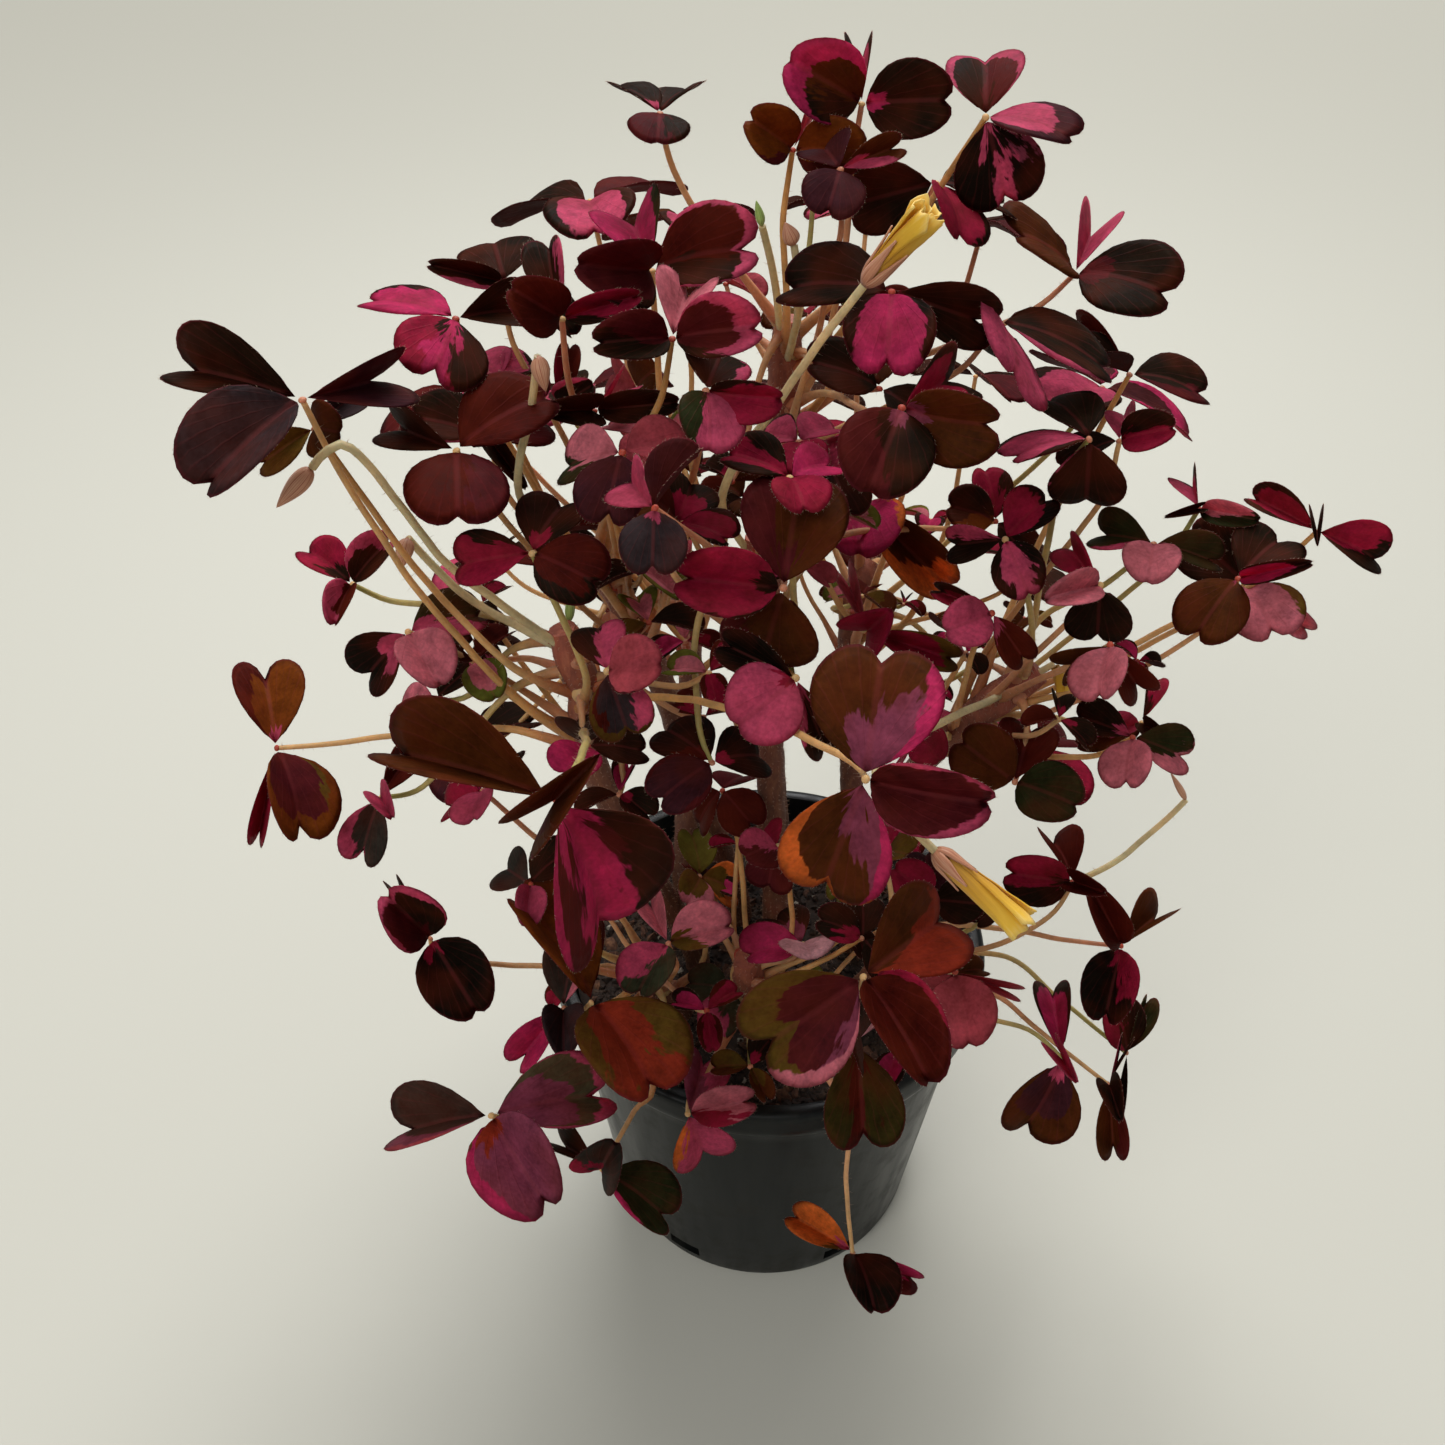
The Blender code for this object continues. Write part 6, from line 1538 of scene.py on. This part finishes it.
# Pot and soil in millimetres. Crumbs lie within a reach of the axis, and no deeper than the soil's dips
potLook = dict(steps=160, lipRound=0.9, footHeight=2.0, footRound=0.9, sweepRadius=10.0, slotDepth=6.0)
soilLook = dict(
    rings=46, steps=120, sideRows=6, edgeDrop=1.5, mound=0.7, moundWidth=3.5, deepest=-1.2,
    crumbDepth=1.3, crumbReach=26.0)
soilLumps = {7.0: 0.9, 2.2: 0.5, 0.8: 0.25}
crumbLook = dict(
    crumbs=dict(count=2600, smallest=0.5, largest=1.7, flatness=0.8, seed=3),
    chips=dict(count=150, smallest=1.2, largest=3.0, flatness=0.4, seed=4),
    grit=dict(count=140, smallest=0.5, largest=1.3, flatness=0.8, seed=5))


def potTree(finish):
    # The pot's profile is swept round a circle, and drainage slots are cut through its foot
    add, size = newTree(
        "pot", steps=potLook["steps"], radius=potLook["sweepRadius"], slots=potSizes["slots"],
        slotWidth=potSizes["slotWidth"], slotHeight=potSizes["slotHeight"],
        slotRadius=potSizes["baseRadius"] - 1.0, slotTurn=potSizes["slotTurn"])
    wide, tall, radius, slotRadius = [
        add("MULTIPLY", size[key], mm) for key in ("slotWidth", "slotHeight", "radius", "slotRadius")]
    profile = add("MeshToCurve", size["Geometry"])
    ring = add("CurvePrimitiveCircle", {"Resolution": size["steps"], "Radius": radius})
    swept = add("CurveToMesh", {"Curve": ring, "Profile Curve": profile})
    swept = add("MergeByDistance", {"Geometry": swept, "Distance": 0.01 * mm})
    cutter = add("MeshCube", {"Size": add("CombineXYZ", potLook["slotDepth"] * mm, wide, tall)})
    places = add("MeshCircle", {"Vertices": size["slots"], "Radius": slotRadius})
    turn = add("AlignRotationToVector", {"Vector": add("InputPosition")}, axis="X")
    cutters = add("InstanceOnPoints", {"Points": places, "Instance": cutter, "Rotation": turn})
    half = add("DIVIDE", math.pi, size["slots"])
    around = add("CombineXYZ", 0.0, 0.0, add("ADD", half, size["slotTurn"]))
    middle = add("ADD", add("MULTIPLY", size["slotHeight"], 0.5), 0.5 + potSizes["floor"])
    lift = add("CombineXYZ", 0.0, 0.0, add("MULTIPLY", middle, mm))
    cutters = add("Transform", {"Geometry": cutters, "Translation": lift, "Rotation": around})
    cutters = add("RealizeInstances", cutters)
    cut = add(
        "MeshBoolean", {"Mesh 1": swept, "Mesh 2": cutters}, operation="DIFFERENCE", solver="MANIFOLD")
    return finishTree(add, cut, finish, smooth=False)


def potProfile():
    # Radius and height pairs from the axis under the floor, up the outside, over the lip and back
    base, top, rim = potSizes["baseRadius"], potSizes["topRadius"], potSizes["rimRadius"]
    high, wall, floor = potSizes["height"], potSizes["wall"], potSizes["floor"]
    drop = high - potSizes["lipHeight"]
    soft, heel = potLook["lipRound"], potLook["footRound"]
    slope = (top - base) / high
    under = base + slope * drop
    inner = top - wall
    corner = base - wall
    return [
        (0.0, 0.5), (base - 4.0, 0.5), (base - 3.2, 0.0), (base - heel, 0.0),
        *[(base - heel + heel * math.sin(a), heel - heel * math.cos(a)) for a in (0.5, 1.0, math.pi / 2)],
        *[(base + slope * z, z) for z in np.linspace(potLook["footHeight"], drop - 0.8, 14)],
        (under + 0.15, drop - 0.4), (rim - 0.75, drop - 0.1), (rim - 0.3, drop + 0.2),
        (rim - 0.1, drop + 0.7),
        *[(rim, z) for z in np.linspace(drop + 1.2, high - soft, 5)],
        *[(rim - soft + soft * math.cos(a), high - soft + soft * math.sin(a))
          for a in (0.4, 0.8, 1.2, math.pi / 2)],
        (inner + 0.5, high), (inner + 0.15, high - 0.12), (inner, high - 0.5),
        *[(base + slope * z - wall, z) for z in np.linspace(high - 1.6, floor + 1.4, 12)],
        (corner - 0.2, floor + 0.5), (corner - 0.8, floor + 0.1), (corner - 1.4, floor), (0.0, floor)]


def potMaterial():
    # Thin moulded polypropylene: near-black satin with faint upright flow lines, scuffs and dust
    finish, add = newMaterial("moulded pot plastic")
    where = add("TexCoord").outputs["Object"]
    height = add("SeparateXYZ", where).outputs[2]
    flow = add("Mapping", {"Vector": where, "Scale": (1.0, 1.0, 0.06)})
    flow = add("TexNoise", flow, 1.0 / (2.5 * mm), 3.0)
    dust = add("TexNoise", where, 1.0 / (6.0 * mm), 5.0, 0.65)
    speck = add("TexNoise", where, 1.0 / (0.5 * mm), 2.0)
    low = add("MapRange", height, 12.0 * mm, 0.0)
    dusty = add("MapRange", add("ADD", dust, add("MULTIPLY", low, 0.12)), 0.5, 0.75)
    dusty = add("MULTIPLY", dusty, add("ADD", 0.35, add("MULTIPLY", speck, 0.5)))
    colour = add("Mix", flow, linear("#090b0b"), linear("#0f1212"), data_type="RGBA")
    colour = add("Mix", add("MULTIPLY", dusty, 0.2), colour, linear("#5a554a"), data_type="RGBA")
    rough = add("MapRange", add("ADD", flow, dusty), 0.3, 1.2, 0.28, 0.55)
    scratch = add("Mapping", {"Vector": where, "Scale": (1.0, 1.0, 0.12), "Rotation": (0.35, 0.2, 0.0)})
    scratch = add("TexNoise", scratch, 1.0 / (0.3 * mm), 2.0)
    relief = add("ADD", add("MULTIPLY", flow, 0.6), add("MULTIPLY", scratch, 0.25))
    bump = add("Bump", {"Strength": 0.18, "Distance": 0.12 * mm, "Height": relief})
    add("OutputMaterial", add("BsdfPrincipled", {
        "Base Color": colour, "Roughness": rough, "Normal": bump, "IOR": 1.45, "Specular IOR Level": 0.22}))
    return finish


def soilShape(finish):
    # One closed lump that fills the pot's inside, with an uneven crumbly top round the stems
    slope = (potSizes["topRadius"] - potSizes["baseRadius"]) / potSizes["height"]
    gap = plantSizes["clearance"]
    bottom = potSizes["floor"] + gap
    low, high = [potSizes["baseRadius"] + slope * z - potSizes["wall"] - gap for z in (bottom, soilTop)]
    rise = soilTop - soilLook["edgeDrop"] - bottom
    rows = soilLook["sideRows"]
    profile = [(0.0, bottom), (low, bottom)]
    profile += [(low + (high - low) * i / rows, bottom + rise * i / rows) for i in range(1, rows + 1)]
    profile += [(high * (1.0 - i / soilLook["rings"]), soilTop) for i in range(soilLook["rings"] + 1)]
    verts, faces = lathe(profile, soilLook["steps"])
    feet = [Vector((*stem["foot"], 0.0)) for stem in stems.values()]
    for point in verts:
        if point.z >= soilTop - 1.0:
            flat = Vector((point.x, point.y, 0.0))
            inside = min(1.0, max(0.0, (high - flat.length) / 2.0))
            lump = sum(noise.noise(point / width) * tall for width, tall in soilLumps.items())
            nearest = min((flat - foot).length for foot in feet)
            mound = soilLook["mound"] * math.exp(-(nearest / soilLook["moundWidth"]) ** 2)
            lump = max(soilLook["deepest"], lump * inside + mound - 0.1)
            point.z += min(soilSizes["lump"], lump) - 0.15 * (1.0 - inside)
    return joinSheets("soilBody", [(verts, faces)], finish)


def crumbTree(finish):
    # Scatters angular crumbs of one kind over the soil's top, half sunk and turned at random
    add, size = newTree(
        "crumbs", level=soilTop - soilLook["crumbDepth"], inside=soilLook["crumbReach"],
        **crumbLook["crumbs"])
    place = add("InputPosition")
    height, slope = [add("SeparateXYZ", way).outputs[2] for way in (place, add("InputNormal"))]
    upFacing = add("GREATER_THAN", slope, 0.35)
    above = add("GREATER_THAN", height, add("MULTIPLY", size["level"], mm))
    flat = add("VectorMath", place, (1.0, 1.0, 0.0), operation="MULTIPLY")
    flat = add("VectorMath", flat, operation="LENGTH")
    within = add("LESS_THAN", flat, add("MULTIPLY", size["inside"], mm))
    chosen = add("MULTIPLY", add("MULTIPLY", upFacing, above), within)
    area = add("MULTIPLY", add("MULTIPLY", size["inside"], size["inside"]), math.pi * mm * mm)
    density = add("DIVIDE", size["count"], area)
    spots = add("DistributePointsOnFaces", {
        "Mesh": size["Geometry"], "Selection": chosen, "Density": density, "Seed": size["seed"]})
    crumb = add("MeshIcoSphere", {"Radius": 1.0, "Subdivisions": 1})
    uneven = add("TexNoise", add("InputPosition"), 0.9, 1.0)
    shove = add("VectorMath", uneven.outputs["Color"], (0.5, 0.5, 0.5), operation="SUBTRACT")
    shove = add("VectorMath", shove, 1.9, operation="SCALE")
    crumb = add("SetPosition", {"Geometry": crumb, "Offset": shove})
    turn = add(
        "RandomValue", {"Min": (0.0, 0.0, 0.0), "Max": (6.28, 6.28, 6.28), "Seed": size["seed"]},
        data_type="FLOAT_VECTOR")
    small, large = [add("MULTIPLY", size[key], mm * 0.5) for key in ("smallest", "largest")]
    grade = add("RandomValue", {"Min": small, "Max": large, "Seed": size["seed"]}, data_type="FLOAT")
    stretch = add("CombineXYZ", grade, grade, add("MULTIPLY", grade, size["flatness"]))
    laid = add("InstanceOnPoints", {"Points": spots, "Instance": crumb, "Rotation": turn, "Scale": stretch})
    return finishTree(add, laid, finish, smooth=False)


def soilMaterial(name, dark, mid, light):
    # Peat and fibre: damp dark crumbs with dry paler specks
    finish, add = newMaterial(name)
    where = add("TexCoord").outputs["Object"]
    clump = add("TexNoise", where, 1.0 / (3.0 * mm), 6.0, 0.7)
    speck = add("TexNoise", where, 1.0 / (0.5 * mm), 3.0)
    both = add("ADD", add("MULTIPLY", clump, 0.6), add("MULTIPLY", speck, 0.4))
    ramp = setStops(add("ValToRGB", both), [(0.35, dark), (0.52, mid), (0.68, light)])
    bump = add("Bump", {"Strength": 0.8, "Distance": 0.4 * mm, "Height": both})
    add("OutputMaterial", add(
        "BsdfPrincipled", {"Base Color": ramp, "Roughness": 0.92, "Normal": bump}))
    return finish


# Hairs in millimetres: how many stand on a square millimetre of stalk or stem, and on each step of a
# leaf's rim; stalkGrade and rimGrade are their widths and lengths as shares of radius and length
hairLook = dict(
    stalkDensity=1.8, stemDensity=2.2, rimEach=3, length=0.7, radius=0.016, shortest=0.4, longest=1.0,
    stalkLean=0.35, rimLean=0.45, stalkGrade=(1.1, 1.1, 1.0), rimGrade=(0.8, 0.8, 0.5))


def hairTree(finish):
    # A fine straight hair stands on every point, the way that the point faces
    add, size = newTree("hairs", length=hairLook["length"], radius=hairLook["radius"], seed=5)
    facing = add("InputNamedAttribute", "facing", data_type="FLOAT_VECTOR")
    turn = add("AlignRotationToVector", {"Vector": facing}, axis="Z")
    wide = add("MULTIPLY", size["radius"], mm)
    tall = add("MULTIPLY", size["length"], mm)
    hair = add(
        "MeshCone", {"Vertices": 3, "Radius Top": 0.0, "Radius Bottom": wide, "Depth": tall},
        fill_type="NONE")
    grade = add("InputNamedAttribute", "grade", data_type="FLOAT_VECTOR")
    chance = add("RandomValue", {2: hairLook["shortest"], 3: hairLook["longest"], "Seed": size["seed"]})
    stretch = add("VectorMath", grade, add("CombineXYZ", 1.0, 1.0, chance), operation="MULTIPLY")
    laid = add("InstanceOnPoints", {
        "Points": size["Geometry"], "Instance": hair, "Rotation": turn, "Scale": stretch})
    return finishTree(add, laid, finish)


def tiltWays(ways, lean, dice):  # the same directions, each leaning its own way
    ways = ways / np.maximum(np.linalg.norm(ways, axis=1, keepdims=True), 1e-9)
    return ways + dice.normal(0.0, lean, ways.shape)


def skinHairs(mesh, density, dice):
    # Points and directions for hairs scattered over a stalk or stem
    count = len(mesh.polygons)
    centres, normals, areas = np.empty(count * 3), np.empty(count * 3), np.empty(count)
    mesh.polygons.foreach_get("center", centres)
    mesh.polygons.foreach_get("normal", normals)
    mesh.polygons.foreach_get("area", areas)
    chosen = dice.choice(count, int(areas.sum() / mm ** 2 * density), p=areas / areas.sum())
    ways = tiltWays(normals.reshape(-1, 3)[chosen], hairLook["stalkLean"], dice)
    return centres.reshape(-1, 3)[chosen] / mm, ways


def rimHairs(blades, dice):
    # Points and directions for the fringe of the leaves: anywhere along a rim, outwards across it
    count = len(blades.vertices)
    points, cells = np.empty(count * 3), np.empty(count * 3, dtype=np.float32)
    ends = np.empty(len(blades.edges) * 2, dtype=np.int32)
    blades.vertices.foreach_get("co", points)
    blades.attributes["cell"].data.foreach_get("vector", cells)
    blades.edges.foreach_get("vertices", ends)
    points, share, ends = points.reshape(-1, 3) / mm, cells.reshape(-1, 3)[:, 1], ends.reshape(-1, 2)
    ends = np.where(share[ends[:, :1]] >= share[ends[:, 1:]], ends, ends[:, ::-1])
    onRim = share > 0.99
    across = ends[onRim[ends[:, 0]] & (share[ends[:, 1]] < 0.95)]
    outwards = np.zeros((count, 3))
    outwards[across[:, 0]] = points[across[:, 0]] - points[across[:, 1]]
    outwards /= np.maximum(np.linalg.norm(outwards, axis=1, keepdims=True), 1e-9)
    along = ends[onRim[ends[:, 0]] & onRim[ends[:, 1]]]
    first, second = np.repeat(along, hairLook["rimEach"], axis=0).T
    part = dice.uniform(0.0, 1.0, (len(first), 1))
    spots = points[first] * (1.0 - part) + points[second] * part
    ways = outwards[first] * (1.0 - part) + outwards[second] * part
    return spots, tiltWays(ways, hairLook["rimLean"], dice)


def hairMaterial():
    # Plant hair: clear and pale, so it catches the light; two shades keep a tuft from looking flat
    finish, add = newMaterial("plant hair")
    shade = add("TexNoise", add("TexCoord").outputs["Object"], 1.0 / (3.0 * mm), 1.0)
    colour = add("Mix", shade, linear("#b88c74"), linear("#e0ccb4"), data_type="RGBA")
    skin = add("BsdfPrincipled", {"Base Color": colour, "Roughness": 0.4})
    add("OutputMaterial", add("MixShader", 0.5, skin, add("BsdfTranslucent", {"Color": colour})))
    return finish


# The room in metres: a pale floor and pale walls, a wide window behind and two smaller lamps
studio = dict(
    floorSide=6.0, worldTone="#e2e3e2", worldLight=0.46, sensor=36.0, nearest=0.005, farthest=20.0)
lamps = dict(
    window=dict(size=1.5, power=34.0, tone="#fffdf9", place=(0.2, 1.05, 1.75), target=(0.0, 0.0, 0.09)),
    fill=dict(size=0.5, power=4.0, tone="#fbfaf8", place=(-0.35, -0.6, 0.75), target=(0.0, 0.0, 0.09)),
    backLight=dict(size=0.22, power=0.75, tone="#f6f8ff", place=(0.0, 0.24, 0.36), target=(0.0, 0.05, 0.0)))


def areaLight(name, size, power, tone, place, target):
    light = bpy.data.lights.new(name, "AREA")
    light.shape = "DISK"
    light.size = size
    light.energy = power
    light.color = linear(tone)[:3]
    lamp = placeObject(name, light)
    lamp.visible_camera = False
    lamp.location = place
    lamp.rotation_euler = (Vector(target) - Vector(place)).to_track_quat("-Z", "Y").to_euler()


def floorMaterial():
    # Matt pale board: warm grey with a tone that shifts very slowly and a faint tooth
    finish, add = newMaterial("pale board")
    where = add("TexCoord").outputs["Object"]
    drift = add("TexNoise", where, 1.2, 1.0)
    ramp = setStops(add("ValToRGB", drift), [(0.3, "#b2b1a7"), (0.7, "#b8b7ad")])
    tooth = add("TexNoise", where, 1.0 / (1.5 * mm), 2.0)
    bump = add("Bump", {"Strength": 0.03, "Distance": 0.1 * mm, "Height": tooth})
    add("OutputMaterial", add(
        "BsdfPrincipled", {"Base Color": ramp, "Roughness": 0.85, "Normal": bump}))
    return finish


def buildStudio():
    bpy.context.scene.view_settings.view_transform = "Standard"
    half = studio["floorSide"] / 2
    board = bpy.data.meshes.new("floor")
    corners = [(-half, -half, 0.0), (half, -half, 0.0), (half, half, 0.0), (-half, half, 0.0)]
    board.from_pydata(corners, [], [(0, 1, 2, 3)])
    board.materials.append(floorMaterial())
    placeObject("floor", board)
    for name, lamp in lamps.items():
        areaLight(name, **lamp)
    world = bpy.data.worlds.new("pale room")
    world.use_nodes = True
    bpy.context.scene.world = world
    background = world.node_tree.nodes["Background"]
    background.inputs["Color"].default_value = linear(studio["worldTone"])
    background.inputs["Strength"].default_value = studio["worldLight"]
    lens = bpy.data.cameras.new("camera")
    lens.sensor_width = studio["sensor"]
    lens.lens = studio["sensor"] * photo["focal"] / photo["side"]
    lens.clip_start = studio["nearest"]
    lens.clip_end = studio["farthest"]
    camera = placeObject("camera", lens)
    camera.location = photo["eye"] * mm
    camera.rotation_euler = (math.pi / 2 - photo["pitchDown"], 0.0, 0.0)
    bpy.context.scene.camera = camera


def buildPotAndSoil():
    profile = [Vector((radius - potLook["sweepRadius"], -height, 0.0)) for radius, height in potProfile()]
    edges = [(i, i + 1) for i in range(len(profile) - 1)]
    pot = grow("pot", carrierMesh("potProfile", profile, edges), potTree(potMaterial()))
    pot.shade_smooth()
    pot.set_sharp_from_angle(angle=math.radians(40))
    addPiece("potShell", pot, "pot_plastic", "pot")
    peat = soilMaterial("peat", "#140d09", "#2c1e15", "#4a3626")
    finishes = dict(
        crumbs=peat, chips=soilMaterial("bark chips", "#2a1810", "#4e3020", "#80583c"),
        grit=soilMaterial("pale grit", "#6a6258", "#948c7e", "#c0baac"))
    body = soilShape(peat)
    addPiece("soilBody", body, "soil", "soil")
    for name, sizes in crumbLook.items():
        scattered = grow(name, body.copy(), crumbTree(finishes[name]), **sizes)
        addPiece("soil" + name.capitalize(), scattered, "soil", "soil")


seeds = dict(tones=11, hairs=7, blooms=5)


def buildPlant():
    paths, plans = planPlant()
    stalkFinish = stalkMaterial()
    leaflets = leafletTree(sorrelLeafMaterial())
    stalks = stalkTree(stalkFinish)
    trunks = stemTree(barkMaterial())
    knobs = knobTree(stalkFinish)
    hairs = hairTree(hairMaterial())
    everyStalk = [*blooms.values(), *flowerStalks, *tenderTips, witheredBloom]
    rng = random.Random(seeds["tones"])
    dice = np.random.default_rng(seeds["hairs"])
    for name, path in paths.items():
        mine = [leaf for leaf in plans if leaf["stem"] == name]
        blades = grow("leaves", leafletCarrier("leaflets", mine, rng), leaflets)
        lines = [petioleLine(leaf, rng) for leaf in mine]
        lines += [flowerLine(stalk) for stalk in everyStalk if stalk["stem"] == name]
        stalkMesh = grow("stalks", lineCarrier("stalks", lines), stalks)
        count = len(path)
        bark = [mixTone(stalkTones["bark"], stalkTones["crown"], (i / count) ** 2) for i in range(count)]
        trunkLine = dict(points=path, radii=stemRadii(path), tones=bark)
        trunk = grow("stem", lineCarrier("stem", [trunkLine]), trunks)
        hubs, feet = stalkSpots(mine, rng)
        pieces = dict(
            leaves=blades, stalks=stalkMesh, stem=trunk,
            hubs=grow("hubs", knobCarrier("hubs", hubs), knobs, flatness=hubSizes["flatness"]),
            feet=grow("feet", knobCarrier("feet", feet), knobs, flatness=knobSizes["flatness"]))
        tufts = [
            rimHairs(blades, dice), skinHairs(stalkMesh, hairLook["stalkDensity"], dice),
            skinHairs(trunk, hairLook["stemDensity"], dice)]
        spots = [Vector(spot) for tuft in tufts for spot in tuft[0]]
        ways = [tuple(way) for tuft in tufts for way in tuft[1]]
        grades = [hairLook["rimGrade"]] * len(tufts[0][0])
        grades += [hairLook["stalkGrade"]] * (len(spots) - len(grades))
        pieces["hairs"] = grow("hairs", carrierMesh("hairs", spots, facing=ways, grade=grades), hairs)
        for piece, mesh in pieces.items():
            addPiece(piece + name.title().replace("_", ""), mesh, "leaf", "leafy_stem_" + name)
        print("grew", name, len(mine), "leaves,", len(spots), "hairs")


def buildFlowers():
    rng = random.Random(seeds["blooms"])
    petalFinish = petalMaterial()
    sepalFinish = sepalMaterial("sorrel sepal", ("#a4563a", "#c98a68", "#d8a888"), "#b0704e")
    tenderFinish = sepalMaterial("tender leaf", ("#6c8c3c", "#98b458", "#b8cc7c"), "#a08c50")
    for name, bloom in blooms.items():
        look = bloomLook[name]
        sheets, places = petalSheets(bloom, look, rng)
        petals = joinSheets("petals", sheets, petalFinish, cell=places)
        addPiece("petals" + name.capitalize(), petals, "petal", "bloom_" + name)
        sheets, places = sepalSheets(bloom, look, rng)
        sepals = joinSheets("sepals", sheets, sepalFinish, cell=places)
        addPiece("sepals" + name.capitalize(), sepals, "petal", "leafy_stem_" + bloom["stem"])
    for order, stalk in enumerate(flowerStalks, 1):
        sheet, kept = budSheet(*stalk["budEnds"], stalk.get("radius", budSizes["radius"]))
        bud = joinSheets("bud", [sheet], sepalFinish, cell=[kept])
        addPiece("bud%d" % order, bud, "petal", "leafy_stem_" + stalk["stem"])
    for order, tip in enumerate(tenderTips, 1):
        sheet, kept = budSheet(*tip["budEnds"], tip["radius"])
        addPiece("tenderTip%d" % order, joinSheets("tip", [sheet], tenderFinish, cell=[kept]), "leaf")
    sheets, places = petalSheets(witheredBloom, bloomLook["withered"], rng)
    addPiece("petalsWithered", joinSheets("petals", sheets, petalFinish, cell=places), "petal")


buildStudio()
print("studio ready")
buildPotAndSoil()
print("pot and soil ready")
buildPlant()
buildFlowers()
print("flowers ready")
for name, count in sorted(pieceFaces.items(), key=lambda item: -item[1])[:6]:
    print(name, count, "triangles")
print("all pieces", sum(pieceFaces.values()), "triangles")
